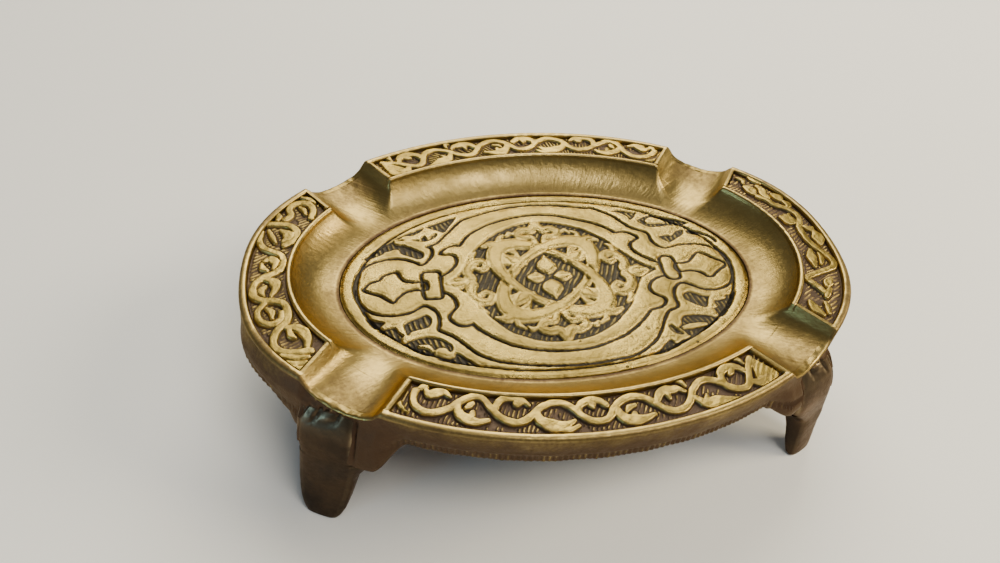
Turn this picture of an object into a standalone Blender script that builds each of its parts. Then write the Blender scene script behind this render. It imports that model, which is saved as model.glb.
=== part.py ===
"""Oval cast brass ashtray on four splayed feet.

Metres, +Z up. The feet stand on the plane z = 0, the long side lies along X, and -Y is the front.
The tray is one casting. The feet are brazed to its corners, and the chased plaque and the four
vine-scroll strips are let into it.
"""
import math

import bmesh
import bpy
from mathutils import Matrix, Vector

# Driving sizes of the tray
TRAY_LENGTH = 0.0980
TRAY_WIDTH = 0.0706
TRAY_HEIGHT = 0.0240
RIM_WIDTH = 0.0078
RIM_THICKNESS = 0.0030
RIM_EDGE_ROUND = 0.0008
LIP_ROUND = 0.0006
BOWL_DEPTH = 0.0049
BOWL_WALL = 0.0020
FLOOR_THICKNESS = 0.0029
FLOOR_BORDER = 0.0005
SKIRT_HEIGHT = 0.0061
SKIRT_THICKNESS = 0.0019
SKIRT_TAPER = 0.0005
SKIRT_SPREAD = 0.0016
SPREAD_START_SHARE = 0.10
SPREAD_RUN_SHARE = 0.22
END_FULLNESS = 0.0006
END_FULLNESS_WAVES = 4
TRAY_SEGMENTS = 96
WALL_STEPS = 5
WALL_ROUNDNESS_SHARE = 0.45

# Clearances, and the angle from which an edge is left sharp
FIT_GAP = 0.0003
CUT_OVERRUN = 0.0010
SHARP_ANGLE = math.radians(38.0)

# Plaque on the floor of the bowl
PLAQUE_LENGTH = 0.0686
PLAQUE_WIDTH = 0.0428
PLAQUE_THICKNESS = 0.0009
PLAQUE_RELIEF = 0.0006
PLAQUE_SEGMENTS = 50
RELIEF_ROOT = 0.0003

# Vine-scroll strips in the rim
OUTER_FRAME_WIDTH = 0.0012
INNER_FRAME_WIDTH = 0.0009
END_FRAME_WIDTH = 0.0010
STRIP_THICKNESS = 0.0009
STRIP_RELIEF = 0.0006
STRIP_SET_BACK = 0.0001
STRIP_ARC_SEGMENTS = 18
STEM_WIDTH = 0.0008
STEM_SWING = 0.0014
STEM_THICKENING_SHARE = 0.45
STEM_POINTS_PER_WAVE = 5
VINE_MARGIN_SHARE = 0.035
LONG_STRIP_WAVES = 9
SHORT_STRIP_WAVES = 7

# Cigarette rests on the diagonals
REST_WIDTH = 0.0121
REST_DEPTH_AT_EDGE = 0.0028
REST_REACH_INWARD = 0.0140
REST_FALL_SHARE = 0.145
REST_POWER_SHARE = 2.3
REST_SEGMENTS = 12

# Gussets and bosses at the corners
CORNER_ANGLE = math.radians(45.0)
GUSSET_FLARE = 0.0026
GUSSET_FLAT = 0.0052
GUSSET_BLEND = 0.0040
LONG_GUSSET_RUN = 0.0048
LONG_GUSSET_DROP = 0.0054
SHORT_GUSSET_RUN = 0.0080
SHORT_GUSSET_DROP = 0.0033
BOSS_WIDTH = 0.0130
BOSS_SHIFT = 0.0006
BOSS_LENGTH = 0.0108
BOSS_TOP_BELOW_RIM = 0.0018
BOSS_TOP_FALL = 0.0033
BOSS_BOTTOM = 0.0127
BOSS_BOTTOM_RISE = 0.0025
BOSS_ROUND = 0.0012

# Rings of the skirt from the edge downwards. Each row holds the share of the taper, the height as
# a share of the skirt's, and how much it takes of the gusset's flare, of its drop, and of the
# spread at the front left.
SKIRT_RING_SHARES = (
    (0.40, 0.52, 0.18, 0.05, 0.72),
    (0.70, 0.35, 0.62, 0.35, 0.92),
    (1.00, 0.14, 0.94, 0.85, 1.00),
)

# Legs
LEG_TURN = math.radians(9.0)
LEG_SHIFT = 0.0015
KNEE_WIDTH = 0.0084
KNEE_REACH = 0.0030
KNEE_BACK = 0.0027
FRONT_LEFT_TOE_REACH = 0.0052
FRONT_LEFT_TOE_DRIFT = 0.0009
FRONT_RIGHT_TOE_REACH = 0.0039
FRONT_RIGHT_TOE_DRIFT = 0.0017
REAR_TOE_REACH = 0.0046
REAR_TOE_DRIFT = 0.0010
LEG_SECTION_POINTS = 16
TENON_WIDTH = 0.0034
TENON_HEIGHT = 0.0026
TENON_LENGTH = 0.0026
TENON_ABOVE_SHOULDER = 0.0038
FLUTE_COUNT = 3
FLUTE_PITCH = 0.0018
FLUTE_RADIUS = 0.0004
FLUTE_LENGTH = 0.0032
FLUTE_SLOPE = math.radians(28.0)
FLUTE_LEAN = math.radians(18.0)
FLUTE_SIDES = 8

# Sections of the knee from its top down to the shoulder: the height as a share of the height
# from the shoulder to the top, the reach and the width as shares of the knee's, and the power
# of the outline.
KNEE_SECTION_SHARES = (
    (1.00, 0.22, 0.96, 4.0),
    (0.73, 0.64, 1.00, 4.5),
    (0.35, 0.90, 1.00, 4.5),
    (0.00, 1.00, 1.00, 4.5),
)

# Sections of the shank from the shoulder down to the flat pad: the height as a share of the
# shoulder's, the way from the knee's reach to the toe's, the way from no drift to the toe's, the
# depth and the width as shares of the knee's, and the power of the outline.
SHANK_SECTION_SHARES = (
    (1.000, 0.00, 0.00, 1.28, 1.08, 4.5),
    (0.820, 0.08, 0.25, 1.06, 1.05, 4.2),
    (0.650, 0.18, 0.45, 0.78, 1.02, 4.0),
    (0.490, 0.33, 0.60, 0.62, 0.98, 3.8),
    (0.330, 0.54, 0.75, 0.51, 0.91, 3.6),
    (0.180, 0.79, 0.88, 0.46, 0.81, 3.2),
    (0.065, 0.97, 0.97, 0.39, 0.68, 3.0),
    (0.016, 1.00, 1.00, 0.32, 0.57, 2.8),
    (0.000, 0.95, 1.00, 0.27, 0.50, 2.6),
)

# Tones of the metal
BRASS_COLOUR = (0.62, 0.43, 0.16, 1.0)
PLAQUE_COLOUR = (0.68, 0.49, 0.20, 1.0)
STRIP_COLOUR = (0.60, 0.42, 0.18, 1.0)
LEG_COLOUR = (0.30, 0.20, 0.11, 1.0)
BRASS_ROUGHNESS_SHARE = 0.34
LEG_ROUGHNESS_SHARE = 0.45

# Sizes that follow from the driving ones
HALF_LENGTH = TRAY_LENGTH / 2
HALF_WIDTH = TRAY_WIDTH / 2
RIM_TOP = TRAY_HEIGHT
FLOOR_TOP = RIM_TOP - BOWL_DEPTH
PLAQUE_TOP = FLOOR_TOP
PLAQUE_GROUND = PLAQUE_TOP - PLAQUE_RELIEF
PLAQUE_BOTTOM = PLAQUE_GROUND - PLAQUE_THICKNESS
RECESS_FLOOR = PLAQUE_BOTTOM - FIT_GAP
UNDERSIDE = FLOOR_TOP - FLOOR_THICKNESS
SKIRT_BOTTOM = RIM_TOP - SKIRT_HEIGHT
REST_LIP = RIM_TOP - REST_DEPTH_AT_EDGE
SHOULDER_TOP = SKIRT_BOTTOM - LONG_GUSSET_DROP - FIT_GAP
KNEE_TOP = REST_LIP - SKIRT_THICKNESS / 2
KNEE_DEPTH = KNEE_BACK + KNEE_REACH
STRIP_GROUND = RIM_TOP - STRIP_SET_BACK - STRIP_RELIEF
STRIP_BOTTOM = STRIP_GROUND - STRIP_THICKNESS
FIELD_OUTER_INSET = OUTER_FRAME_WIDTH
FIELD_INNER_INSET = RIM_WIDTH - INNER_FRAME_WIDTH
FIELD_END = REST_WIDTH / 2 + END_FRAME_WIDTH

# Names of the corners, the signs of X and Y there, and the reach and drift of the toe
CORNERS = (
    ("front_left", -1, -1, FRONT_LEFT_TOE_REACH, FRONT_LEFT_TOE_DRIFT),
    ("front_right", 1, -1, FRONT_RIGHT_TOE_REACH, FRONT_RIGHT_TOE_DRIFT),
    ("rear_left", -1, 1, REAR_TOE_REACH, REAR_TOE_DRIFT),
    ("rear_right", 1, 1, REAR_TOE_REACH, REAR_TOE_DRIFT),
)


def start_collections():
    """Empty the scene and add one collection for the parts and one for the cutters."""
    for item in list(bpy.data.objects):
        bpy.data.objects.remove(item, do_unlink=True)
    collections = []
    for name in ("ashtray", "ashtray_cutters"):
        collection = bpy.data.collections.new(name)
        bpy.context.scene.collection.children.link(collection)
        collections.append(collection)
    return collections


def metal(name, colour, roughness):
    """A plain metal material for one sub-part."""
    material = bpy.data.materials.new(name)
    material.use_nodes = True
    shader = material.node_tree.nodes["Principled BSDF"]
    shader.inputs["Base Color"].default_value = colour
    shader.inputs["Metallic"].default_value = 1.0
    shader.inputs["Roughness"].default_value = roughness
    return material


def object_from_bmesh(name, bm, collection, material=None):
    """Close a bmesh into a named object of flat triangles, which Booleans cut cleanly."""
    bmesh.ops.triangulate(bm, faces=bm.faces)
    bmesh.ops.recalc_face_normals(bm, faces=bm.faces)
    mesh = bpy.data.meshes.new(name)
    bm.to_mesh(mesh)
    bm.free()
    piece = bpy.data.objects.new(name, mesh)
    collection.objects.link(piece)
    if material:
        mesh.materials.append(material)
    return piece


def as_cutter(piece):
    """Mark an object as a guide that is not a piece of the ashtray."""
    piece.hide_render = True
    piece.display_type = "WIRE"
    return piece


def boolean(piece, tool, operation):
    """Add an exact Boolean with one tool to a piece, and keep its faces flat for the next one."""
    modifier = piece.modifiers.new(operation.title() + "_" + tool.name, "BOOLEAN")
    modifier.operation = operation
    modifier.solver = "EXACT"
    modifier.object = tool
    piece.modifiers.new("Triangles_" + tool.name, "TRIANGULATE")


def boolean_all(piece, tools, operation):
    """Add one exact Boolean with all the tools of a collection."""
    modifier = piece.modifiers.new(operation.title() + "_" + tools.name, "BOOLEAN")
    modifier.operation = operation
    modifier.solver = "EXACT"
    modifier.operand_type = "COLLECTION"
    modifier.collection = tools
    piece.modifiers.new("Triangles_" + tools.name, "TRIANGULATE")


def tool_collection(name, parent):
    """A collection of tools that are used together."""
    collection = bpy.data.collections.new(name)
    parent.children.link(collection)
    return collection


def smooth_round(piece):
    """Shade a round piece smooth and keep its edges sharp."""
    piece.data.shade_smooth()
    piece.data.set_sharp_from_angle(angle=SHARP_ANGLE)


def loft(rings):
    """Skin closed rings that have the same number of points, and cap both ends."""
    bm = bmesh.new()
    loops = [[bm.verts.new(point) for point in ring] for ring in rings]
    for upper, lower in zip(loops, loops[1:]):
        for index in range(len(upper)):
            after = (index + 1) % len(upper)
            bm.faces.new((upper[index], lower[index], lower[after], upper[after]))
    bm.faces.new(loops[0])
    bm.faces.new(list(reversed(loops[-1])))
    return bm


def flat_outlines(name, outlines, thickness, centre_height, collection):
    """Extrude nested closed outlines into one closed mesh. An outline in another is its hole."""
    curve = bpy.data.curves.new(name, "CURVE")
    curve.dimensions = "2D"
    curve.fill_mode = "BOTH"
    curve.extrude = thickness / 2
    for outline in outlines:
        spline = curve.splines.new("POLY")
        spline.points.add(len(outline) - 1)
        for point, (x, y) in zip(spline.points, outline):
            point.co = (x, y, 0.0, 1.0)
        spline.use_cyclic_u = True
    drawn = bpy.data.objects.new(name + "_outline", curve)
    drawn.location.z = centre_height
    collection.objects.link(drawn)
    return mesh_from_curve(name, drawn, collection)


def swept_loop(name, points, radius, collection):
    """Sweep a six-sided tube along a closed run of points, as a mesh."""
    curve = bpy.data.curves.new(name, "CURVE")
    curve.dimensions = "3D"
    curve.bevel_depth = radius
    curve.bevel_resolution = 1
    spline = curve.splines.new("POLY")
    spline.points.add(len(points) - 1)
    for point, place in zip(spline.points, points):
        point.co = (*place, 1.0)
    spline.use_cyclic_u = True
    drawn = bpy.data.objects.new(name + "_path", curve)
    collection.objects.link(drawn)
    return mesh_from_curve(name, drawn, collection)


def mesh_from_curve(name, drawn, collection):
    """Turn a curve object into a closed mesh object in the same place."""
    bpy.context.view_layer.update()
    seen = drawn.evaluated_get(bpy.context.evaluated_depsgraph_get())
    mesh = bpy.data.meshes.new_from_object(seen)
    bm = bmesh.new()
    bm.from_mesh(mesh)
    bmesh.ops.remove_doubles(bm, verts=bm.verts, dist=FIT_GAP / 100)
    bmesh.ops.recalc_face_normals(bm, faces=bm.faces)
    bm.to_mesh(mesh)
    bm.free()
    piece = bpy.data.objects.new(name, mesh)
    piece.matrix_world = drawn.matrix_world
    collection.objects.link(piece)
    bpy.data.objects.remove(drawn, do_unlink=True)
    return piece


def on_oval(inset, angle):
    """Point on the oval that lies inset from the tray's outer edge, a little fuller at the ends."""
    x, y = (HALF_LENGTH - inset) * math.cos(angle), (HALF_WIDTH - inset) * math.sin(angle)
    fullness = 0.0
    if abs(math.cos(angle)) > math.cos(CORNER_ANGLE) and inset < RIM_WIDTH:
        fullness = END_FULLNESS * math.sin(END_FULLNESS_WAVES * angle) ** 2 * (1 - inset / RIM_WIDTH)
    normal = oval_normal(angle)
    return (x + normal.x * fullness, y + normal.y * fullness)


def oval_normal(angle):
    """Outward direction of the tray's outer edge."""
    return Vector((HALF_WIDTH * math.cos(angle), HALF_LENGTH * math.sin(angle), 0.0)).normalized()


def corner_frame(sign_x, sign_y):
    """Matrix of a corner: X runs outwards, Y towards the short side and Z up from the feet."""
    normal = oval_normal(CORNER_ANGLE)
    edge = on_oval(0.0, CORNER_ANGLE)
    frame = Matrix.Identity(4)
    frame.col[0][:3] = (sign_x * normal.x, sign_y * normal.y, 0.0)
    frame.col[1][:3] = (sign_x * normal.y, -sign_y * normal.x, 0.0)
    frame.col[3][:3] = (sign_x * edge[0], sign_y * edge[1], 0.0)
    return frame


def leg_frame(sign_x, sign_y):
    """Matrix of a leg, which stands beside the corner's middle line and is turned to it."""
    shift = Matrix.Translation((0.0, LEG_SHIFT, 0.0))
    return corner_frame(sign_x, sign_y) @ shift @ Matrix.Rotation(-LEG_TURN, 4, "Z")


def place(piece, frame):
    """Move a mesh into a frame and keep its faces outwards, also in a mirrored frame."""
    piece.data.transform(frame)
    if frame.determinant() < 0:
        piece.data.flip_normals()


def corner_angle_at(inset, sideways):
    """Angle on an inset oval where its point lies sideways of the first corner's middle line."""
    normal = oval_normal(CORNER_ANGLE)
    edge = Vector(on_oval(0.0, CORNER_ANGLE))
    across = Vector((normal.y, -normal.x))
    reach_x = (HALF_LENGTH - inset) * across.x
    reach_y = (HALF_WIDTH - inset) * across.y
    wanted = (across.dot(edge) + sideways) / math.hypot(reach_x, reach_y)
    return math.atan2(reach_y, reach_x) + math.acos(wanted)


def smooth_step(value):
    """Ease from 0 to 1."""
    value = min(max(value, 0.0), 1.0)
    return value * value * (3.0 - 2.0 * value)


def gusset_at(angle):
    """Share of the corner gusset, and how far it drops, at an angle round the tray."""
    folded = math.atan2(abs(math.sin(angle)), abs(math.cos(angle)))
    from_corner = Vector(on_oval(0.0, folded)) - Vector(on_oval(0.0, CORNER_ANGLE))
    normal = oval_normal(CORNER_ANGLE)
    sideways = from_corner.dot(Vector((normal.y, -normal.x)))
    run = SHORT_GUSSET_RUN if sideways > 0 else LONG_GUSSET_RUN
    share = smooth_step(1.0 - (from_corner.length - GUSSET_FLAT) / run)
    to_short = smooth_step((sideways / GUSSET_BLEND + 1.0) / 2)
    return share, LONG_GUSSET_DROP + (SHORT_GUSSET_DROP - LONG_GUSSET_DROP) * to_short


def spread_at(angle):
    """How much the skirt stands out at the front left, from 0 to 1."""
    if math.cos(angle) > 0 or math.sin(angle) > 0:
        return 0.0
    from_end = smooth_step((-math.sin(angle) - SPREAD_START_SHARE) / SPREAD_RUN_SHARE)
    from_corner = smooth_step((-math.cos(angle) - math.cos(CORNER_ANGLE)) / SPREAD_START_SHARE)
    return from_end * from_corner


def tray_ring(half_length, half_width, height):
    """One closed oval ring of the tray."""
    ring = []
    for step in range(TRAY_SEGMENTS):
        angle = 2 * math.pi * (step + 0.5) / TRAY_SEGMENTS
        ring.append((half_length * math.cos(angle), half_width * math.sin(angle), height))
    return ring


def inset_ring(inset, height, flare_share=0.0, drop_share=0.0, spread_share=0.0):
    """A ring inset from the tray's outer edge, drawn out and down where the gussets are."""
    ring = []
    for step in range(TRAY_SEGMENTS):
        angle = 2 * math.pi * (step + 0.5) / TRAY_SEGMENTS
        x, y = on_oval(inset, angle)
        share, drop = gusset_at(angle)
        reach = max(GUSSET_FLARE * flare_share * share, SKIRT_SPREAD * spread_share * spread_at(angle))
        outward = oval_normal(angle) * reach
        ring.append((x + outward.x, y + outward.y, height - drop * drop_share * share))
    return ring


def bowl_wall_rings(outer_half, inner_half, top, bottom):
    """Rings of the bowl's hollow wall, steep at the lip and flat at the floor."""
    rings = []
    for step in range(1, WALL_STEPS + 1):
        turn = math.pi / 2 * step / WALL_STEPS
        straight = step / WALL_STEPS
        along = straight + (1.0 - math.cos(turn) - straight) * WALL_ROUNDNESS_SHARE
        down = straight + (math.sin(turn) - straight) * WALL_ROUNDNESS_SHARE
        rings.append(tray_ring(
            outer_half[0] + (inner_half[0] - outer_half[0]) * along,
            outer_half[1] + (inner_half[1] - outer_half[1]) * along,
            top + (bottom - top) * down,
        ))
    return rings


def skirt_rings():
    """Rings of the skirt's outer face, from under the rim's edge to its bottom."""
    rings = []
    for taper_share, height_share, flare_share, drop_share, spread_share in SKIRT_RING_SHARES:
        rings.append(inset_ring(SKIRT_TAPER * taper_share, SKIRT_BOTTOM + SKIRT_HEIGHT * height_share,
                                flare_share, drop_share, spread_share))
    inside = SKIRT_TAPER + SKIRT_THICKNESS
    rings.append(inset_ring(SKIRT_TAPER + RIM_EDGE_ROUND / 2, SKIRT_BOTTOM, flare_share, 1.0, 1.0))
    rings.append(inset_ring(inside, SKIRT_BOTTOM, flare_share / 2, 1.0, 1.0))
    return rings


def tray_shell():
    """The tray before its rests, recesses and seats are cut, from the recess to the underside."""
    recess = (PLAQUE_LENGTH / 2 + FIT_GAP, PLAQUE_WIDTH / 2 + FIT_GAP)
    floor_edge = (recess[0] + FLOOR_BORDER, recess[1] + FLOOR_BORDER)
    lip = (HALF_LENGTH - RIM_WIDTH, HALF_WIDTH - RIM_WIDTH)
    wall_start = RIM_TOP - LIP_ROUND
    rings = [
        tray_ring(*recess, RECESS_FLOOR),
        tray_ring(*recess, FLOOR_TOP),
    ]
    rings += list(reversed(bowl_wall_rings(lip, floor_edge, wall_start, FLOOR_TOP)))
    rings += [
        inset_ring(RIM_WIDTH, wall_start),
        inset_ring(RIM_WIDTH - LIP_ROUND, RIM_TOP),
        inset_ring(RIM_EDGE_ROUND, RIM_TOP),
        inset_ring(RIM_EDGE_ROUND / 3, RIM_TOP - RIM_EDGE_ROUND / 3),
        inset_ring(0.0, RIM_TOP - RIM_EDGE_ROUND),
    ]
    rings += skirt_rings()
    rings += [
        inset_ring(SKIRT_TAPER + SKIRT_THICKNESS, RIM_TOP - RIM_THICKNESS),
        inset_ring(RIM_WIDTH - BOWL_WALL, RIM_TOP - RIM_THICKNESS),
        tray_ring(floor_edge[0] + BOWL_WALL, floor_edge[1] + BOWL_WALL, UNDERSIDE + BOWL_WALL / 2),
        tray_ring(floor_edge[0], floor_edge[1], UNDERSIDE),
    ]
    return loft(rings)


def rest_section(half_width, depth, outward):
    """Closed section of the cutter for a rest, in a corner's own frame."""
    section = []
    power = 2.0 / REST_POWER_SHARE
    for step in range(REST_SEGMENTS + 1):
        turn = math.pi * step / REST_SEGMENTS
        side = half_width * math.copysign(abs(math.cos(turn)) ** power, math.cos(turn))
        section.append((outward, side, RIM_TOP - depth * math.sin(turn) ** power))
    section.append((outward, -half_width, RIM_TOP + CUT_OVERRUN))
    section.append((outward, half_width, RIM_TOP + CUT_OVERRUN))
    return section


def rest_cutter(name, frame, collection):
    """Cutter for one cigarette rest, deeper towards the bowl."""
    half = REST_WIDTH / 2
    reach_out = GUSSET_FLARE + SKIRT_SPREAD
    outer_depth = REST_DEPTH_AT_EDGE - reach_out * REST_FALL_SHARE
    inner_depth = REST_DEPTH_AT_EDGE + REST_REACH_INWARD * REST_FALL_SHARE
    rings = [
        rest_section(half, outer_depth, reach_out),
        rest_section(half, inner_depth, -REST_REACH_INWARD),
    ]
    cutter = object_from_bmesh(name, loft(rings), collection)
    place(cutter, frame)
    return as_cutter(cutter)


def corner_boss(name, frame, collection):
    """The wedge under a rest, which holds the seat of the leg and its tenon."""
    outer = -SKIRT_TAPER - SKIRT_THICKNESS / 2
    top, bottom = RIM_TOP - BOSS_TOP_BELOW_RIM, BOSS_BOTTOM
    right, left = BOSS_SHIFT - BOSS_WIDTH / 2, BOSS_SHIFT + BOSS_WIDTH / 2
    inner = outer - BOSS_LENGTH
    low_top, high_bottom = top - BOSS_TOP_FALL, bottom + BOSS_BOTTOM_RISE
    rings = [
        [(outer, right, top), (outer, left, top), (outer, left, bottom), (outer, right, bottom)],
        [(inner, right, low_top), (inner, left, low_top), (inner, left, high_bottom),
         (inner, right, high_bottom)],
    ]
    boss = object_from_bmesh(name, loft(rings), collection)
    place(boss, frame)
    rounding = boss.modifiers.new("Rounded_edges", "BEVEL")
    rounding.width = BOSS_ROUND
    rounding.segments = 2
    return as_cutter(boss)


def strip_place(side, along, across, shrink=0.0):
    """Place on a rim strip, from shares along it and across it from -1 (outer) to 1 (inner)."""
    outer = FIELD_OUTER_INSET + shrink
    inner = FIELD_INNER_INSET - shrink
    inset = outer + (inner - outer) * (across + 1.0) / 2
    on_long_side = side in ("front", "rear")
    end_sideways = -(FIELD_END + shrink) if on_long_side else FIELD_END + shrink
    end = corner_angle_at(inset, end_sideways)
    if on_long_side:
        angle = end + (math.pi - 2 * end) * (1.0 - along)
        x, y = on_oval(inset, angle)
        return (x, y) if side == "rear" else (x, -y)
    x, y = on_oval(inset, -end + 2 * end * along)
    return (x, y) if side == "right" else (-x, y)


def strip_outline(side, shrink):
    """Closed outline of a rim strip or of its recess."""
    outer = [strip_place(side, step / STRIP_ARC_SEGMENTS, -1.0, shrink)
             for step in range(STRIP_ARC_SEGMENTS + 1)]
    inner = [strip_place(side, step / STRIP_ARC_SEGMENTS, 1.0, shrink)
             for step in range(STRIP_ARC_SEGMENTS + 1)]
    return outer + list(reversed(inner))


def recess_cutter(side, collection):
    """Cutter for the recess that a rim strip lies in."""
    floor = STRIP_BOTTOM - FIT_GAP
    top = RIM_TOP + CUT_OVERRUN
    cutter = flat_outlines("recess_" + side, [strip_outline(side, 0.0)], top - floor,
                           (top + floor) / 2, collection)
    return as_cutter(cutter)


def along_vine(share):
    """Share along a strip from the share along its vine, which keeps clear of the ends."""
    return VINE_MARGIN_SHARE + (1.0 - 2 * VINE_MARGIN_SHARE) * share


def vine_stem(side, waves):
    """Closed outline of the wavy stem of a strip."""
    half_field = (FIELD_INNER_INSET - FIELD_OUTER_INSET) / 2
    swing_share = STEM_SWING / half_field
    half_share = STEM_WIDTH / half_field / 2
    near, far = [], []
    points = waves * STEM_POINTS_PER_WAVE
    for step in range(points + 1):
        along = along_vine(step / points)
        phase = math.pi * waves * step / points
        middle = -swing_share * math.sin(phase)
        slope = abs(math.cos(phase))
        half = half_share * (1.0 + STEM_THICKENING_SHARE * slope)
        near.append(strip_place(side, along, middle - half))
        far.append(strip_place(side, along, middle + half))
    return near + list(reversed(far))


# Outline of one curled leaf, in shares of a half-wave along and of half the field across
LEAF_SHARES = (
    (0.20, -0.24), (0.28, -0.52), (0.46, -0.74), (0.74, -0.76), (0.94, -0.58), (0.99, -0.36),
    (0.86, -0.44), (0.66, -0.46), (0.50, -0.30), (0.38, -0.16), (0.34, 0.06), (0.26, -0.06),
)


def vine_leaf(side, waves, wave):
    """Closed outline of the leaf that curls under one half-wave of the stem."""
    turn = 1.0 if wave % 2 else -1.0
    outline = []
    for along_share, across_share in LEAF_SHARES:
        along = along_vine((wave + along_share) / waves)
        outline.append(strip_place(side, along, turn * across_share))
    return outline


def frieze_strip(side, waves, parts, cutters, material):
    """One vine-scroll strip: a curved plate with its stem and leaves standing on it."""
    name = "frieze_" + side
    strip = flat_outlines(name, [strip_outline(side, FIT_GAP)], STRIP_THICKNESS,
                          STRIP_BOTTOM + STRIP_THICKNESS / 2, parts)
    outlines = [vine_stem(side, waves)]
    outlines += [vine_leaf(side, waves, wave) for wave in range(waves)]
    height = STRIP_RELIEF + RELIEF_ROOT
    middle = STRIP_GROUND - RELIEF_ROOT + height / 2
    vine = as_cutter(flat_outlines(name + "_vine", outlines, height, middle, cutters))
    boolean(strip, vine, "UNION")
    strip.data.materials.append(material)
    return strip


def mirrored_outline(quarter):
    """Closed outline from the points of its first quarter, which run from +Y round to +X."""
    first = [(x, y) for x, y in quarter]
    second = [(x, -y) for x, y in reversed(quarter)]
    third = [(-x, -y) for x, y in quarter]
    fourth = [(-x, y) for x, y in reversed(quarter)]
    outline = []
    for point in first + second + third + fourth:
        if not outline or math.dist(point, outline[-1]) > FIT_GAP / 10:
            outline.append(point)
    if math.dist(outline[0], outline[-1]) < FIT_GAP / 10:
        outline.pop()
    return outline


# First quarters of the plaque's strapwork, as shares of the plaque's half length and half width
STRAP_OUTER_SHARES = (
    (0.000, 0.882), (0.120, 0.870), (0.235, 0.838), (0.320, 0.796), (0.379, 0.744), (0.426, 0.660),
    (0.478, 0.543), (0.514, 0.496), (0.555, 0.454), (0.571, 0.416), (0.577, 0.355), (0.592, 0.299),
    (0.621, 0.252), (0.655, 0.243), (0.714, 0.267), (0.787, 0.271), (0.860, 0.238), (0.907, 0.168),
    (0.926, 0.084), (0.930, 0.000),
)
STRAP_INNER_SHARES = (
    (0.000, 0.741), (0.117, 0.719), (0.233, 0.650), (0.321, 0.566), (0.388, 0.477), (0.414, 0.458),
    (0.461, 0.449), (0.504, 0.407), (0.510, 0.379), (0.478, 0.341), (0.461, 0.285), (0.469, 0.229),
    (0.504, 0.159), (0.542, 0.138), (0.644, 0.138), (0.647, 0.066), (0.706, 0.070), (0.729, 0.108),
    (0.755, 0.159), (0.796, 0.173), (0.837, 0.145), (0.854, 0.094), (0.898, 0.000),
)
BAND_OUTER_SHARES = (
    (0.000, 0.722), (0.112, 0.700), (0.224, 0.632), (0.309, 0.549), (0.376, 0.462), (0.408, 0.438),
    (0.452, 0.428), (0.484, 0.396), (0.466, 0.355), (0.447, 0.290), (0.455, 0.220), (0.490, 0.143),
    (0.528, 0.112), (0.557, 0.098), (0.557, 0.000),
)
BAND_INNER_SHARES = (
    (0.000, 0.668), (0.117, 0.640), (0.233, 0.561), (0.321, 0.458), (0.367, 0.374), (0.402, 0.271),
    (0.446, 0.168), (0.496, 0.079), (0.536, 0.000),
)
TIE_SHARES = ((0.573, 0.092), (0.582, 0.115), (0.620, 0.115), (0.631, 0.092))
SPADE_SHARES = (
    (0.645, 0.043), (0.712, 0.047), (0.741, 0.088), (0.765, 0.137), (0.796, 0.151), (0.825, 0.128),
    (0.842, 0.082), (0.880, 0.000),
)
SPANDREL_LEAF_SHARES = (
    (0.610, 0.452), (0.606, 0.365), (0.622, 0.308), (0.655, 0.288), (0.714, 0.318), (0.795, 0.322),
    (0.862, 0.292), (0.829, 0.354), (0.765, 0.378), (0.729, 0.430), (0.706, 0.388), (0.671, 0.402),
    (0.650, 0.448), (0.682, 0.495), (0.752, 0.508), (0.700, 0.552), (0.642, 0.530),
)
SPANDREL_SCROLL_SHARES = (
    (0.525, 0.586), (0.551, 0.530), (0.592, 0.516), (0.654, 0.580), (0.612, 0.582), (0.577, 0.595),
    (0.580, 0.640), (0.618, 0.636), (0.589, 0.682), (0.542, 0.668), (0.513, 0.696), (0.450, 0.752),
    (0.484, 0.662),
)
SIDE_SCROLL_SHARES = (
    (0.352, 0.030), (0.392, 0.050), (0.408, 0.120), (0.386, 0.200), (0.338, 0.240), (0.300, 0.205),
    (0.312, 0.140), (0.340, 0.128), (0.348, 0.165), (0.330, 0.178), (0.345, 0.198), (0.370, 0.172),
    (0.376, 0.115), (0.360, 0.072),
)
BORDER_RING_WIDTH = 0.0017
INTERLACE_LONG_SHARE = 0.310
INTERLACE_SHORT_SHARE = 0.165
INTERLACE_TURN = math.radians(45.0)
INTERLACE_POINTS = 28
INTERLACE_STAGGER_SHARE = 0.4
INTERLACE_RADIUS = 0.00062


def plaque_points(shares, sign_x=1, sign_y=1):
    """Points on the plaque from shares of its half length and half width."""
    return [(sign_x * x * PLAQUE_LENGTH / 2, sign_y * y * PLAQUE_WIDTH / 2) for x, y in shares]


def plaque_oval(inset, count):
    """Oval that lies inset from the plaque's edge."""
    turns = [2 * math.pi * step / count for step in range(count)]
    return [((PLAQUE_LENGTH / 2 - inset) * math.cos(turn), (PLAQUE_WIDTH / 2 - inset) * math.sin(turn))
            for turn in turns]


def mirrored_sideways(half):
    """Closed outline from the upper half of a shape that lies across the X axis."""
    return half + [(x, -y) for x, y in reversed(half) if abs(y) > FIT_GAP / 10]


def strapwork_outlines():
    """All nested outlines of the relief on the plaque."""
    outlines = [
        plaque_oval(FIT_GAP / 2, PLAQUE_SEGMENTS),
        plaque_oval(FIT_GAP / 2 + BORDER_RING_WIDTH, PLAQUE_SEGMENTS),
    ]
    for shares in (STRAP_OUTER_SHARES, STRAP_INNER_SHARES, BAND_OUTER_SHARES, BAND_INNER_SHARES):
        outlines.append(mirrored_outline(plaque_points(shares)))
    for sign_x in (1, -1):
        outlines.append(mirrored_sideways(plaque_points(TIE_SHARES, sign_x)))
        outlines.append(mirrored_sideways(plaque_points(SPADE_SHARES, sign_x)))
        for sign_y in (1, -1):
            for shares in (SPANDREL_LEAF_SHARES, SPANDREL_SCROLL_SHARES, SIDE_SCROLL_SHARES):
                outlines.append(plaque_points(shares, sign_x, sign_y))
    return outlines


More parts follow.
